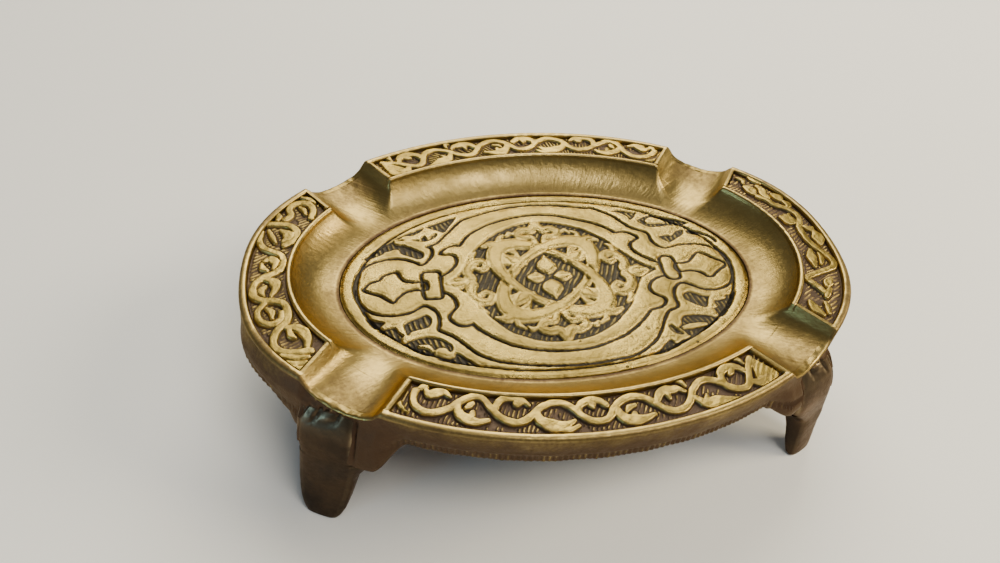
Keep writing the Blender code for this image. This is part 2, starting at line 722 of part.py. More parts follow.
def interlace_path(turn, start_share):
    """Closed oval path of one strand of the knot in the middle of the plaque."""
    half_long = PLAQUE_LENGTH / 2 * INTERLACE_LONG_SHARE
    half_short = PLAQUE_LENGTH / 2 * INTERLACE_SHORT_SHARE
    path = []
    for step in range(INTERLACE_POINTS):
        angle = 2 * math.pi * (step + start_share) / INTERLACE_POINTS
        x, y = half_long * math.cos(angle), half_short * math.sin(angle)
        path.append((x * math.cos(turn) - y * math.sin(turn),
                     x * math.sin(turn) + y * math.cos(turn),
                     PLAQUE_GROUND))
    return path


def floor_medallion(parts, cutters, material):
    """The oval plaque with its border ring, strapwork, ties, spades, scrolls and middle knot."""
    half = (PLAQUE_LENGTH / 2, PLAQUE_WIDTH / 2)
    rings = []
    for height in (PLAQUE_GROUND, PLAQUE_BOTTOM):
        rings.append([(half[0] * math.cos(2 * math.pi * step / PLAQUE_SEGMENTS),
                       half[1] * math.sin(2 * math.pi * step / PLAQUE_SEGMENTS), height)
                      for step in range(PLAQUE_SEGMENTS)])
    plaque = object_from_bmesh("floor_medallion", loft(rings), parts, material)
    height = PLAQUE_RELIEF + RELIEF_ROOT
    middle = PLAQUE_GROUND - RELIEF_ROOT + height / 2
    relief = tool_collection("plaque_relief", cutters)
    as_cutter(flat_outlines("strapwork", strapwork_outlines(), height, middle, relief))
    for index, turn in enumerate((INTERLACE_TURN, -INTERLACE_TURN)):
        path = interlace_path(turn, index * INTERLACE_STAGGER_SHARE)
        as_cutter(swept_loop("knot_strand_%d" % index, path, INTERLACE_RADIUS, relief))
    boolean_all(plaque, relief, "UNION")
    return plaque


def leg_section(height, outer, side, depth, width, power):
    """Closed section of a leg at one height, in the leg's own frame."""
    section = []
    for step in range(LEG_SECTION_POINTS):
        turn = 2 * math.pi * step / LEG_SECTION_POINTS
        cosine, sine = math.cos(turn), math.sin(turn)
        out = depth / 2 * math.copysign(abs(cosine) ** (2.0 / power), cosine)
        across = width / 2 * math.copysign(abs(sine) ** (2.0 / power), sine)
        section.append((outer - depth / 2 + out, side + across, height))
    return section


def knee_rings(growth, top_growth, extra_bottom):
    """Rings of the knee from its top down, grown all round and run on at the bottom."""
    rings = []
    for height_share, reach_share, width_share, power in KNEE_SECTION_SHARES:
        height = SHOULDER_TOP + (KNEE_TOP - SHOULDER_TOP) * height_share
        reach = KNEE_REACH * reach_share + growth
        rings.append(leg_section(height, reach, 0.0, KNEE_BACK + growth + reach,
                                 KNEE_WIDTH * width_share + 2 * growth, power))
    rings[0] = [(x, y, z + top_growth) for x, y, z in rings[0]]
    rings[-1] = [(x, y, z - extra_bottom) for x, y, z in rings[-1]]
    return rings


def shank_rings(toe_reach, toe_drift):
    """Rings of the leg below the shoulder, down to the flat pad."""
    rings = []
    for height_share, reach_share, drift_share, depth_share, width_share, power in SHANK_SECTION_SHARES:
        rings.append(leg_section(
            SHOULDER_TOP * height_share,
            KNEE_REACH + (toe_reach - KNEE_REACH) * reach_share,
            toe_drift * drift_share,
            KNEE_DEPTH * depth_share,
            KNEE_WIDTH * width_share,
            power,
        ))
    return rings


def tenon_block(name, growth, collection):
    """Block of the tenon, or with growth of its socket, in the leg's own frame."""
    bpy.ops.mesh.primitive_cube_add(size=1.0)
    block = bpy.context.object
    block.name = name
    front = -KNEE_BACK + CUT_OVERRUN
    back = -KNEE_BACK - TENON_LENGTH - growth
    size = (front - back, TENON_WIDTH + 2 * growth, TENON_HEIGHT + 2 * growth, 1.0)
    middle = Matrix.Translation(((front + back) / 2, 0.0, SHOULDER_TOP + TENON_ABOVE_SHOULDER))
    block.data.transform(middle @ Matrix.Diagonal(size))
    move_to_collection(block, collection)
    return as_cutter(block)


def move_to_collection(piece, collection):
    """Put an object into one collection only."""
    for owner in piece.users_collection:
        owner.objects.unlink(piece)
    collection.objects.link(piece)


def leg_seat(name, frame, cuts, cutters):
    """Cutter for the seat of one leg in the corner: the knee and the tenon, with clearance."""
    seat = object_from_bmesh(name, loft(knee_rings(FIT_GAP, FIT_GAP, CUT_OVERRUN)), cuts)
    socket = tenon_block(name + "_socket", FIT_GAP, cutters)
    boolean(seat, socket, "UNION")
    for piece in (seat, socket):
        place(piece, frame)
    return as_cutter(seat)


def flute_cutter(name, sideways, frame, collection):
    """Cutter for one chisel flute on the front of the knee."""
    bpy.ops.mesh.primitive_cylinder_add(vertices=FLUTE_SIDES, radius=FLUTE_RADIUS, depth=FLUTE_LENGTH)
    flute = bpy.context.object
    flute.name = name
    height_share, reach_share = KNEE_SECTION_SHARES[1][:2]
    height = SHOULDER_TOP + (KNEE_TOP - SHOULDER_TOP) * height_share
    middle = Matrix.Translation((KNEE_REACH * reach_share, sideways, height))
    turned = Matrix.Rotation(FLUTE_LEAN, 4, "X") @ Matrix.Rotation(-FLUTE_SLOPE, 4, "Y")
    flute.data.transform(middle @ turned)
    place(flute, frame)
    move_to_collection(flute, collection)
    return as_cutter(flute)


def leg(corner, frame, toe_reach, toe_drift, parts, cutters, material):
    """One cast leg: knee, shoulders, shank, flat pad, tenon and chisel flutes."""
    name = "leg_" + corner
    piece = object_from_bmesh(name, loft(knee_rings(0.0, 0.0, RELIEF_ROOT)), parts, material)
    shank = as_cutter(object_from_bmesh(name + "_shank", loft(shank_rings(toe_reach, toe_drift)), cutters))
    tenon = tenon_block(name + "_tenon", 0.0, cutters)
    for item in (piece, shank, tenon):
        place(item, frame)
    boolean(piece, shank, "UNION")
    boolean(piece, tenon, "UNION")
    first = -FLUTE_PITCH * (FLUTE_COUNT - 1) / 2
    for index in range(FLUTE_COUNT):
        flute = flute_cutter("%s_flute_%d" % (name, index), first + index * FLUTE_PITCH, frame, cutters)
        boolean(piece, flute, "DIFFERENCE")
    smooth_round(piece)
    return piece


def tray_casting(parts, cutters, material):
    """The tray with its bosses, rests, recesses and the seats of its legs."""
    tray = object_from_bmesh("tray_casting", tray_shell(), parts, material)
    bosses = tool_collection("tray_bosses", cutters)
    cuts = tool_collection("tray_cuts", cutters)
    for name, sign_x, sign_y, _, _ in CORNERS:
        corner_boss("boss_" + name, corner_frame(sign_x, sign_y), bosses)
        rest_cutter("rest_" + name, corner_frame(sign_x, sign_y), cuts)
        leg_seat("seat_" + name, leg_frame(sign_x, sign_y), cuts, cutters)
    for side in ("front", "rear", "left", "right"):
        recess_cutter(side, cuts)
    boolean_all(tray, bosses, "UNION")
    boolean_all(tray, cuts, "DIFFERENCE")
    smooth_round(tray)
    return tray


def main():
    """Build the ashtray."""
    parts, cutters = start_collections()
    brass = metal("tray_brass", BRASS_COLOUR, BRASS_ROUGHNESS_SHARE)
    tray_casting(parts, cutters, brass)
    floor_medallion(parts, cutters, metal("plaque_brass", PLAQUE_COLOUR, BRASS_ROUGHNESS_SHARE))
    for side in ("front", "rear", "left", "right"):
        waves = LONG_STRIP_WAVES if side in ("front", "rear") else SHORT_STRIP_WAVES
        strip_metal = metal("strip_brass_" + side, STRIP_COLOUR, BRASS_ROUGHNESS_SHARE)
        frieze_strip(side, waves, parts, cutters, strip_metal)
    for name, sign_x, sign_y, toe_reach, toe_drift in CORNERS:
        leg_metal = metal("leg_brass_" + name, LEG_COLOUR, LEG_ROUGHNESS_SHARE)
        leg(name, leg_frame(sign_x, sign_y), toe_reach, toe_drift, parts, cutters, leg_metal)


main()
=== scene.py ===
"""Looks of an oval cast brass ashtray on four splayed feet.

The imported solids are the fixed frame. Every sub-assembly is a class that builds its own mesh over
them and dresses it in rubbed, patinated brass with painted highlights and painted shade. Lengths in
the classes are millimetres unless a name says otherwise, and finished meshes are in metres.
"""
import logging
import math
from dataclasses import dataclass
from enum import Enum
from typing import Dict, List, Sequence, Tuple

import bpy
import numpy as np
from mathutils import Matrix, Vector


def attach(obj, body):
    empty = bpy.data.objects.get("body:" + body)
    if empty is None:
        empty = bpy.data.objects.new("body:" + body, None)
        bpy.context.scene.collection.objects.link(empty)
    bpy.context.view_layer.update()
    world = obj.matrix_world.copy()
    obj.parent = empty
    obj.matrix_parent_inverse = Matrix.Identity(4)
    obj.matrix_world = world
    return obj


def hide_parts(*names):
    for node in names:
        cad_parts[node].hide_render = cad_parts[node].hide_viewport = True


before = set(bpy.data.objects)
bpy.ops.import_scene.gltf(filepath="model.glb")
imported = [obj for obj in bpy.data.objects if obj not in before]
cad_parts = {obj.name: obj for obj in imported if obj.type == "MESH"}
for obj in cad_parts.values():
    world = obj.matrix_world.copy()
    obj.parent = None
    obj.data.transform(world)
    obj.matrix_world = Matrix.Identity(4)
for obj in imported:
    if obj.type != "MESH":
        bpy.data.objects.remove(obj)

LOG = logging.getLogger("ashtray")
MM = 0.001
DOUBLES = 2e-7
Array = np.ndarray
Pair = Tuple[Array, Array]
Piece = bpy.types.Object
Socket = bpy.types.NodeSocket
Point = Tuple[float, float]
Path = Sequence[Point]
Stroke = Tuple[float, float, float, Path]
Colour = Tuple[float, float, float, float]


# ---------------------------------------------------------------- measures and noise

def ease(value: Array, low: float = 0.0, high: float = 1.0) -> Array:
    """Ease from 0 at low to 1 at high.

    Args:
        value: Numbers to ease.
        low: Value that gives 0.
        high: Value that gives 1.

    Returns:
        Eased numbers from 0 to 1.
    """
    share = np.clip((value - low) / (high - low), 0.0, 1.0)
    return share * share * (3.0 - 2.0 * share)


def soft_min(first: Array, second: Array, blend: float) -> Array:
    """Smaller of two heights, with the crease between them rounded.

    Args:
        first: First heights.
        second: Second heights.
        blend: Width of the rounding, as a height.

    Returns:
        Rounded smaller heights.
    """
    share = np.clip(blend - np.abs(first - second), 0.0, None) / blend
    return np.minimum(first, second) - share * share * blend / 4.0


def flowing(path: Path, closed: bool = False, steps: int = 4) -> Array:
    """Run a smooth line through drawn points.

    Args:
        path: Drawn points.
        closed: Whether the line returns to its first point.
        steps: New points for each drawn one.

    Returns:
        Points of the smooth line, one row each.
    """
    points = np.array(path, float)
    if closed:
        padded = np.vstack([points[-1:], points, points[:2]])
    else:
        padded = np.vstack([2 * points[:1] - points[1:2], points, 2 * points[-1:] - points[-2:-1]])
    share = np.linspace(0.0, 1.0, steps, endpoint=False)[:, None]
    runs = []
    for index in range(len(padded) - 3):
        a, b, c, d = padded[index:index + 4]
        runs.append(0.5 * (2 * b + (c - a) * share + (2 * a - 5 * b + 4 * c - d) * share ** 2
                           + (3 * b - a - 3 * c + d) * share ** 3))
    if not closed:
        runs.append(padded[-2:-1])
    return np.vstack(runs)


@dataclass(frozen=True)
class Unevenness:
    """Smooth random unevenness that is the same each run."""

    seed: int
    size: int = 32

    def over(self, x: Array, y: Array, z: Array, scale: float) -> Array:
        """Unevenness over a grid of places.

        Args:
            x: X of places.
            y: Y of places.
            z: Height of the places.
            scale: Length of one bump, in the unit of the places.

        Returns:
            Numbers from -1 to 1, one for each place.
        """
        lattice = np.random.default_rng(self.seed).uniform(-1.0, 1.0, (self.size,) * 3)
        place = np.column_stack([x.ravel(), y.ravel(), z.ravel()]) / scale + 1000.0
        low = np.floor(place).astype(int)
        part = place - low
        part = part * part * (3.0 - 2.0 * part)
        total = np.zeros(len(place))
        for corner in range(8):
            step = np.array([corner & 1, corner >> 1 & 1, corner >> 2 & 1])
            weight = np.prod(np.where(step == 1, part, 1.0 - part), axis=1)
            cell = (low + step) % self.size
            total += weight * lattice[cell[:, 0], cell[:, 1], cell[:, 2]]
        return total.reshape(x.shape)


@dataclass
class Plan:
    """Places of a surface seen from above, with measures from them to drawn lines."""

    x: Array
    y: Array
    reach: float = 1.3

    def _segments(self, path: Array, closed: bool) -> Pair:
        """Starts and ends of the segments of a line."""
        ends = np.roll(path, -1, axis=0)
        return (path, ends) if closed else (path[:-1], ends[:-1])

    def _within(self, low: Array, high: Array) -> Tuple[Array, ...]:
        """Indices of the places inside a box."""
        return np.nonzero((self.x > low[0]) & (self.x < high[0])
                          & (self.y > low[1]) & (self.y < high[1]))

    def to_line(self, path: Array, closed: bool = False, radii: Array | None = None) -> Array:
        """Distance to a line, less its half width where that is given.

        Args:
            path: Points of the line.
            closed: Whether the last point joins the first.
            radii: Half width at each point, or nothing for a bare line.

        Returns:
            Distances, and the plan's reach where the line is further off.
        """
        distance = np.full(self.x.shape, self.reach)
        starts, ends = self._segments(path, closed)
        widths = np.zeros(len(path)) if radii is None else radii
        margin = self.reach + widths.max()
        for index, (start, end) in enumerate(zip(starts, ends)):
            low, high = np.minimum(start, end) - margin, np.maximum(start, end) + margin
            near = self._within(low, high)
            if not len(near[0]):
                continue
            along = end - start
            length = max(float(along @ along), 1e-12)
            dx, dy = self.x[near] - start[0], self.y[near] - start[1]
            share = np.clip((dx * along[0] + dy * along[1]) / length, 0.0, 1.0)
            after = (index + 1) % len(path)
            width = widths[index] + (widths[after] - widths[index]) * share
            found = np.hypot(dx - share * along[0], dy - share * along[1]) - width
            distance[near] = np.minimum(distance[near], found)
        return distance

    def to_stroke(self, stroke: Stroke) -> Array:
        """Distance to a swelling stroke, below 0 inside it.

        Args:
            stroke: Half widths at its start, middle and end, and its drawn points.

        Returns:
            Signed distances.
        """
        start, middle, end, points = stroke
        path = flowing(points)
        share = np.linspace(0.0, 1.0, len(path))
        return self.to_line(path, radii=np.interp(share, (0.0, 0.5, 1.0), (start, middle, end)))

    def to_area(self, outline: Path) -> Array:
        """Distance to the edge of an area, below 0 inside it.

        Args:
            outline: Drawn points round the area.

        Returns:
            Signed distances.
        """
        path = flowing(outline, closed=True, steps=3)
        distance = self.to_line(path, closed=True)
        low, high = path.min(0), path.max(0)
        near = self._within(low, high)
        x, y = self.x[near], self.y[near]
        within = np.zeros(x.shape, bool)
        for start, end in zip(*self._segments(path, True)):
            spans = (start[1] > y) != (end[1] > y)
            if spans.any():
                rise = end[1] - start[1]
                within ^= spans & (x < (end[0] - start[0]) * (y - start[1]) / rise + start[0])
        signs = np.ones(self.x.shape)
        signs[near] = np.where(within, -1.0, 1.0)
        return distance * signs

    def strokes(self, strokes: Sequence[Stroke]) -> Array:
        """Smallest signed distance to several strokes."""
        return np.minimum.reduce([self.to_stroke(stroke) for stroke in strokes])

    def areas(self, outlines: Sequence[Path]) -> Array:
        """Smallest signed distance to several areas."""
        return np.minimum.reduce([self.to_area(outline) for outline in outlines])

    def hatching(self, lean: float, pitch: float, seed: int) -> Array:
        """Hand-cut hatch lines.

        Args:
            lean: Direction of the lines in degrees.
            pitch: Distance between them.
            seed: Seed of their unevenness.

        Returns:
            0 between the lines to 1 on their crests.
        """
        level = np.zeros(self.x.shape)
        waver = Unevenness(seed).over(self.x, self.y, level, 2.2)
        turn = math.radians(lean)
        across = self.x * -math.sin(turn) + self.y * math.cos(turn) + 0.28 * waver
        gaps = Unevenness(seed + 1).over(self.x, self.y, level, 1.1)
        crest = 0.5 + 0.5 * np.cos(2.0 * math.pi * across / pitch)
        return np.clip(crest * (1.0 + 0.5 * gaps), 0.0, 1.0) ** 1.4


# ---------------------------------------------------------------- meshes

def sheet_of(name: str, places: Array) -> Piece:
    """Shape a grid primitive into a surface.

    Args:
        name: Name of the piece.
        places: Place of each grid point in metres, rows by columns by three.

    Returns:
        The mesh object, at the origin.
    """
    rows, columns = places.shape[0] - 1, places.shape[1] - 1
    bpy.ops.object.select_all(action="DESELECT")
    bpy.ops.mesh.primitive_grid_add(x_subdivisions=columns, y_subdivisions=rows, size=2.0)
    piece = bpy.context.object
    piece.name = name
    piece.data.name = name
    spots = np.empty(len(piece.data.vertices) * 3)
    piece.data.vertices.foreach_get("co", spots)
    spots = spots.reshape(-1, 3)
    column = np.rint((spots[:, 0] + 1.0) / 2.0 * columns).astype(int)
    row = np.rint((spots[:, 1] + 1.0) / 2.0 * rows).astype(int)
    piece.data.vertices.foreach_set("co", places[row, column].ravel())
    piece.data.update()
    return piece


def keep_value(piece: Piece, name: str, values: Array) -> None:
    """Store one number for each point on a mesh.

    Args:
        piece: Mesh object, and one made by sheet_of before its doubles are merged.
        name: Name of the attribute.
        values: Numbers in the order of the points.
    """
    attribute = piece.data.attributes.new(name, "FLOAT", "POINT")
    attribute.data.foreach_set("value", np.ascontiguousarray(values, np.float32).ravel())


def close_up(piece: Piece, sharp: float, fill: bool = False) -> None:
    """Merge doubles, fill an open edge, turn faces outwards and shade smooth.

    Args:
        piece: Mesh object.
        sharp: Angle in degrees from which an edge stays sharp.
        fill: Whether the open edge gets a face.
    """
    bpy.ops.object.select_all(action="DESELECT")
    piece.select_set(True)
    bpy.context.view_layer.objects.active = piece
    bpy.ops.object.mode_set(mode="EDIT")
    bpy.ops.mesh.select_all(action="SELECT")
    bpy.ops.mesh.remove_doubles(threshold=DOUBLES)
    if fill:
        bpy.ops.mesh.select_all(action="DESELECT")
        bpy.ops.mesh.select_mode(type="EDGE")
        bpy.ops.mesh.select_non_manifold(extend=False, use_wire=False, use_boundary=True,
                                         use_multi_face=False, use_non_contiguous=False,
                                         use_verts=False)
        bpy.ops.mesh.edge_face_add()
    bpy.ops.mesh.select_all(action="SELECT")
    bpy.ops.mesh.normals_make_consistent(inside=False)
    bpy.ops.object.mode_set(mode="OBJECT")
    bpy.ops.object.shade_smooth_by_angle(angle=math.radians(sharp))


def seat(piece: Piece, finish: "BrassFinish", node: str) -> Piece:
    """Give a piece its finish and put it in the place of a node.

    Args:
        piece: The finished mesh.
        finish: Its brass.
        node: Node of the solids that it replaces.

    Returns:
        The piece.
    """
    piece.data.materials.append(finish.material())
    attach(piece, "root")
    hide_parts(node)
    LOG.info("%s: %d faces", piece.name, len(piece.data.polygons))
    return piece


# ---------------------------------------------------------------- finishes

class Graph:
    """Short way to add linked nodes to a node tree."""

    def __init__(self, tree: bpy.types.NodeTree) -> None:
        """Work on one tree."""
        self.tree = tree

    def add(self, kind: str, inputs: Dict[object, object] | None = None,
            **settings: object) -> bpy.types.Node:
        """Add a node.

        Args:
            kind: Blender's name of the node.
            inputs: Values or sockets for its inputs, by name or number.
            **settings: Properties of the node.

        Returns:
            The new node.
        """
        node = self.tree.nodes.new(kind)
        for key, value in settings.items():
            setattr(node, key, value)
        for key, value in (inputs or {}).items():
            if isinstance(value, Socket):
                self.tree.links.new(value, node.inputs[key])
            else:
                node.inputs[key].default_value = value
        return node

    def maths(self, operation: str, first: object, second: object, third: object = 0.5) -> Socket:
        """Add a Math node and return its result."""
        node = self.add("ShaderNodeMath", {0: first, 1: second, 2: third}, operation=operation)
        return node.outputs[0]

    def times(self, first: object, second: object) -> Socket:
        """Product of two values."""
        return self.maths("MULTIPLY", first, second)

    def plus(self, first: object, second: object) -> Socket:
        """Sum of two values."""
        return self.maths("ADD", first, second)

    def mixed(self, share: object, first: object, second: object) -> Socket:
        """Mix two colours and return the result."""
        node = self.add("ShaderNodeMix", {0: share, 6: first, 7: second}, data_type="RGBA")
        return node.outputs[2]

    def ranged(self, value: object, low: float, high: float,
               start: float = 0.0, end: float = 1.0) -> Socket:
        """Map a range smoothly and return the result."""
        return self.add("ShaderNodeMapRange", {0: value, 1: low, 2: high, 3: start, 4: end},
                        interpolation_type="SMOOTHSTEP").outputs[0]

    def noise(self, place: object, scale: float, detail: float = 3.0,
              rough: float = 0.55) -> Socket:
        """Noise on the object's own coordinates."""
        return self.add("ShaderNodeTexNoise", {"Vector": place, "Scale": scale, "Detail": detail,
                                               "Roughness": rough}).outputs["Fac"]


class NodeLibrary:
    """The node groups that all finishes share, each built once."""

    _built: Dict[str, bpy.types.NodeTree] = {}

    @classmethod
    def _new(cls, name: str, inputs: Sequence[Tuple[str, str]],
             outputs: Sequence[Tuple[str, str]]) -> Graph:
        """Start a group with its sockets.

        Args:
            name: Name of the group.
            inputs: Name and kind of each input, the kind as Float or Color.
            outputs: Name and kind of each output.

        Returns:
            The graph of the new group.
        """
        tree = bpy.data.node_groups.new(name, "ShaderNodeTree")
        for way, sockets in (("INPUT", inputs), ("OUTPUT", outputs)):
            for label, kind in sockets:
                tree.interface.new_socket(label, in_out=way, socket_type="NodeSocket" + kind)
        cls._built[name] = tree
        return Graph(tree)

    @classmethod
    def patina(cls) -> bpy.types.NodeTree:
        """Group that turns the stored patina and painted shade into a broken mask of dark patina
        and painted shade.

        Returns:
            The group, with the inputs Patina_and_shade and Cover.
        """
        if "Patina_and_shade_mask" in cls._built:
            return cls._built["Patina_and_shade_mask"]
        graph = cls._new("Patina_and_shade_mask", (("Patina_and_shade", "Float"), ("Cover", "Float")),
                         (("Mask", "Float"),))
        inputs = graph.add("NodeGroupInput")
        place = graph.add("ShaderNodeTexCoord").outputs["Object"]
        coarse = graph.noise(place, 210.0, 4.0)
        fine = graph.noise(place, 1900.0, 3.0)
        broken = graph.maths("MULTIPLY_ADD", coarse, 0.55, -0.27)
        speckled = graph.maths("MULTIPLY_ADD", fine, 0.42, -0.21)
        total = graph.plus(graph.plus(inputs.outputs["Patina_and_shade"], broken), speckled)
        total = graph.plus(total, inputs.outputs["Cover"])
        mask = graph.ranged(total, 0.12, 0.86)
        graph.add("NodeGroupOutput", {"Mask": mask})
        return cls._built["Patina_and_shade_mask"]

    @classmethod
    def brass(cls) -> bpy.types.NodeTree:
        """Group that gives the colour and roughness of handled brass, with its painted highlights
        and painted shade.

        Returns:
            The group, with the outputs Color and Gloss.
        """
        if "Brass_tone" in cls._built:
            return cls._built["Brass_tone"]
        graph = cls._new("Brass_tone", (("Polished", "Color"), ("Shaded", "Color"),
                                        ("Worn_and_glint", "Color"), ("Dirt_and_shade", "Color"),
                                        ("Mask", "Float"), ("Wear_and_glint", "Float")),
                         (("Color", "Color"), ("Gloss", "Float")))
        inputs = graph.add("NodeGroupInput")
        place = graph.add("ShaderNodeTexCoord").outputs["Object"]
        clouds = graph.ranged(graph.noise(place, 95.0, 5.0, 0.6), 0.36, 0.66)
        flecks = graph.ranged(graph.noise(place, 1300.0, 4.0, 0.7), 0.45, 0.75)
        tone = graph.mixed(clouds, inputs.outputs["Polished"], inputs.outputs["Shaded"])
        tone = graph.mixed(graph.times(flecks, 0.22), tone, inputs.outputs["Shaded"])
        tone = graph.mixed(inputs.outputs["Wear_and_glint"], tone, inputs.outputs["Worn_and_glint"])
        tone = graph.mixed(inputs.outputs["Mask"], tone, inputs.outputs["Dirt_and_shade"])
        dull = graph.times(inputs.outputs["Mask"], 0.16)
        matt = graph.times(clouds, 0.10)
        gloss = graph.plus(graph.plus(dull, matt), graph.times(flecks, 0.12))
        graph.add("NodeGroupOutput", {"Color": tone, "Gloss": gloss})
        return cls._built["Brass_tone"]

    @classmethod
    def skin(cls) -> bpy.types.NodeTree:
        """Group that gives the height of the casting's grain, scratches and pits.

        Returns:
            The group, with the outputs Height and Pits.
        """
        if "Cast_skin" in cls._built:
            return cls._built["Cast_skin"]
        graph = cls._new("Cast_skin", (("Grain", "Float"), ("Pitting", "Float"),
                                       ("Streaks", "Float")),
                         (("Height", "Float"), ("Pits", "Float")))
        inputs = graph.add("NodeGroupInput")
        place = graph.add("ShaderNodeTexCoord").outputs["Object"]
        grain = graph.noise(place, 2600.0, 5.0, 0.65)
        lumps = graph.noise(place, 620.0, 3.0)
        cells = graph.add("ShaderNodeTexVoronoi", {"Vector": place, "Scale": 760.0,
                                                   "Randomness": 1.0})
        chosen = graph.ranged(graph.noise(place, 330.0, 2.0), 0.50, 0.62)
        dots = graph.ranged(cells.outputs["Distance"], 0.10, 0.24, 1.0, 0.0)
        pits = graph.times(graph.times(dots, chosen), inputs.outputs["Pitting"])
        body = graph.plus(graph.times(grain, 0.35), graph.times(lumps, 0.65))
        parts = graph.add("ShaderNodeSeparateXYZ", {0: place})
        turn = graph.maths("ARCTAN2", graph.times(parts.outputs["Y"], 1.35), parts.outputs["X"])
        around = graph.add("ShaderNodeCombineXYZ", {"X": graph.times(turn, 46.0),
                                                    "Y": graph.times(parts.outputs["Z"], 900.0)})
        scrapes = graph.noise(around.outputs[0], 1.0, 3.0, 0.6)
        body = graph.plus(body, graph.times(scrapes, inputs.outputs["Streaks"]))
        height = graph.maths("SUBTRACT", graph.times(body, inputs.outputs["Grain"]),
                             graph.times(pits, 1.2))
        graph.add("NodeGroupOutput", {"Height": height, "Pits": pits})
        return cls._built["Cast_skin"]


@dataclass(frozen=True)
class BrassFinish:
    """One finish of brass, from polished relief to dark patina.

    The colours go from a polished top over its shaded clouds and rubbed edges to the dirt in the
    hollows; the rubbed colour also paints highlights and the dirt colour also paints shade. Grain,
    bump and streaks set how rough the cast skin stands, and edge_tint is the colour of grazing
    highlights.
    """

    name: str
    polished: Colour
    shaded: Colour
    worn_and_glint: Colour
    dirt: Colour
    roughness: float
    grain: float
    bump: float
    streaks: float = 0.0
    edge_tint: Colour = (0.95, 0.80, 0.55, 1)

    def material(self) -> bpy.types.Material:
        """Build the material.

        Returns:
            A material that reads the attributes patina_and_shade, wear_and_glint and pitted of its
            piece.
        """
        made = bpy.data.materials.new(self.name)
        made.use_nodes = True
        graph = Graph(made.node_tree)
        shader = made.node_tree.nodes["Principled BSDF"]
        patina_and_shade = graph.add("ShaderNodeAttribute", attribute_name="patina_and_shade").outputs["Fac"]
        wear_and_glint = graph.add("ShaderNodeAttribute", attribute_name="wear_and_glint").outputs["Fac"]
        pitted = graph.add("ShaderNodeAttribute", attribute_name="pitted").outputs["Fac"]
        skin = graph.add("ShaderNodeGroup", node_tree=NodeLibrary.skin())
        skin.inputs["Grain"].default_value = self.grain
        skin.inputs["Streaks"].default_value = self.streaks
        links = made.node_tree.links
        links.new(graph.plus(pitted, 0.0), skin.inputs["Pitting"])
        patina = graph.add("ShaderNodeGroup", {"Patina_and_shade": patina_and_shade, "Cover": 0.0},
                           node_tree=NodeLibrary.patina())
        dirt = graph.times(skin.outputs["Pits"], 0.8)
        mask = graph.maths("MAXIMUM", patina.outputs["Mask"], dirt)
        tone = graph.add("ShaderNodeGroup", {"Polished": self.polished, "Shaded": self.shaded,
                                             "Worn_and_glint": self.worn_and_glint, "Dirt_and_shade": self.dirt,
                                             "Mask": mask, "Wear_and_glint": wear_and_glint},
                         node_tree=NodeLibrary.brass())
        links.new(tone.outputs["Color"], shader.inputs["Base Color"])
        links.new(graph.plus(tone.outputs["Gloss"], self.roughness), shader.inputs["Roughness"])
        bump = graph.add("ShaderNodeBump", {"Height": skin.outputs["Height"], "Strength": self.bump,
                                            "Distance": 0.00012})
        links.new(bump.outputs["Normal"], shader.inputs["Normal"])
        metal = graph.maths("SUBTRACT", 1.0, graph.times(mask, 0.45))
        links.new(metal, shader.inputs["Metallic"])
        shader.inputs["Specular IOR Level"].default_value = 0.2
        shader.inputs["Specular Tint"].default_value = self.edge_tint
        return made


# Place to the side, half width and depth of each chip below a rest
CHIPS: Tuple[Tuple[float, float, float], ...] = (
    (0.85, 0.42, 0.42), (-0.15, 0.36, 0.36), (-2.0, 0.44, 0.42), (2.6, 0.34, 0.28))
CHIP_TOP = 21.0
CHIP_SLANT = 0.46
CHIP_GLINT = 0.42


def chips(side: Array, height: Array) -> Array:
    """Depth of the short slanting cuts below a rest, which run over the leg's head.

    Args:
        side: Distance to the side of the leg's middle line.
        height: Height above the floor.

    Returns:
        Depths in millimetres.
    """
    depths = np.zeros(np.broadcast(side, height).shape)
    for place, half, depth in CHIPS:
        line = place + (CHIP_TOP - height) * CHIP_SLANT
        cut = (1.0 - ease(np.abs(side - line), 0.05, half)) * ease(height, 18.2, 19.4)
        depths = np.maximum(depths, cut * depth)
    return depths


# ---------------------------------------------------------------- the tray

class Side(Enum):
    """Sides of the rim that carry a strip."""

    FRONT = "front"
    REAR = "rear"
    LEFT = "left"
    RIGHT = "right"


class Corner(Enum):
    """Corners of the tray, with the signs of X and Y there."""

    FRONT_LEFT = ("front_left", -1, -1)
    FRONT_RIGHT = ("front_right", 1, -1)
    REAR_LEFT = ("rear_left", -1, 1)
    REAR_RIGHT = ("rear_right", 1, 1)


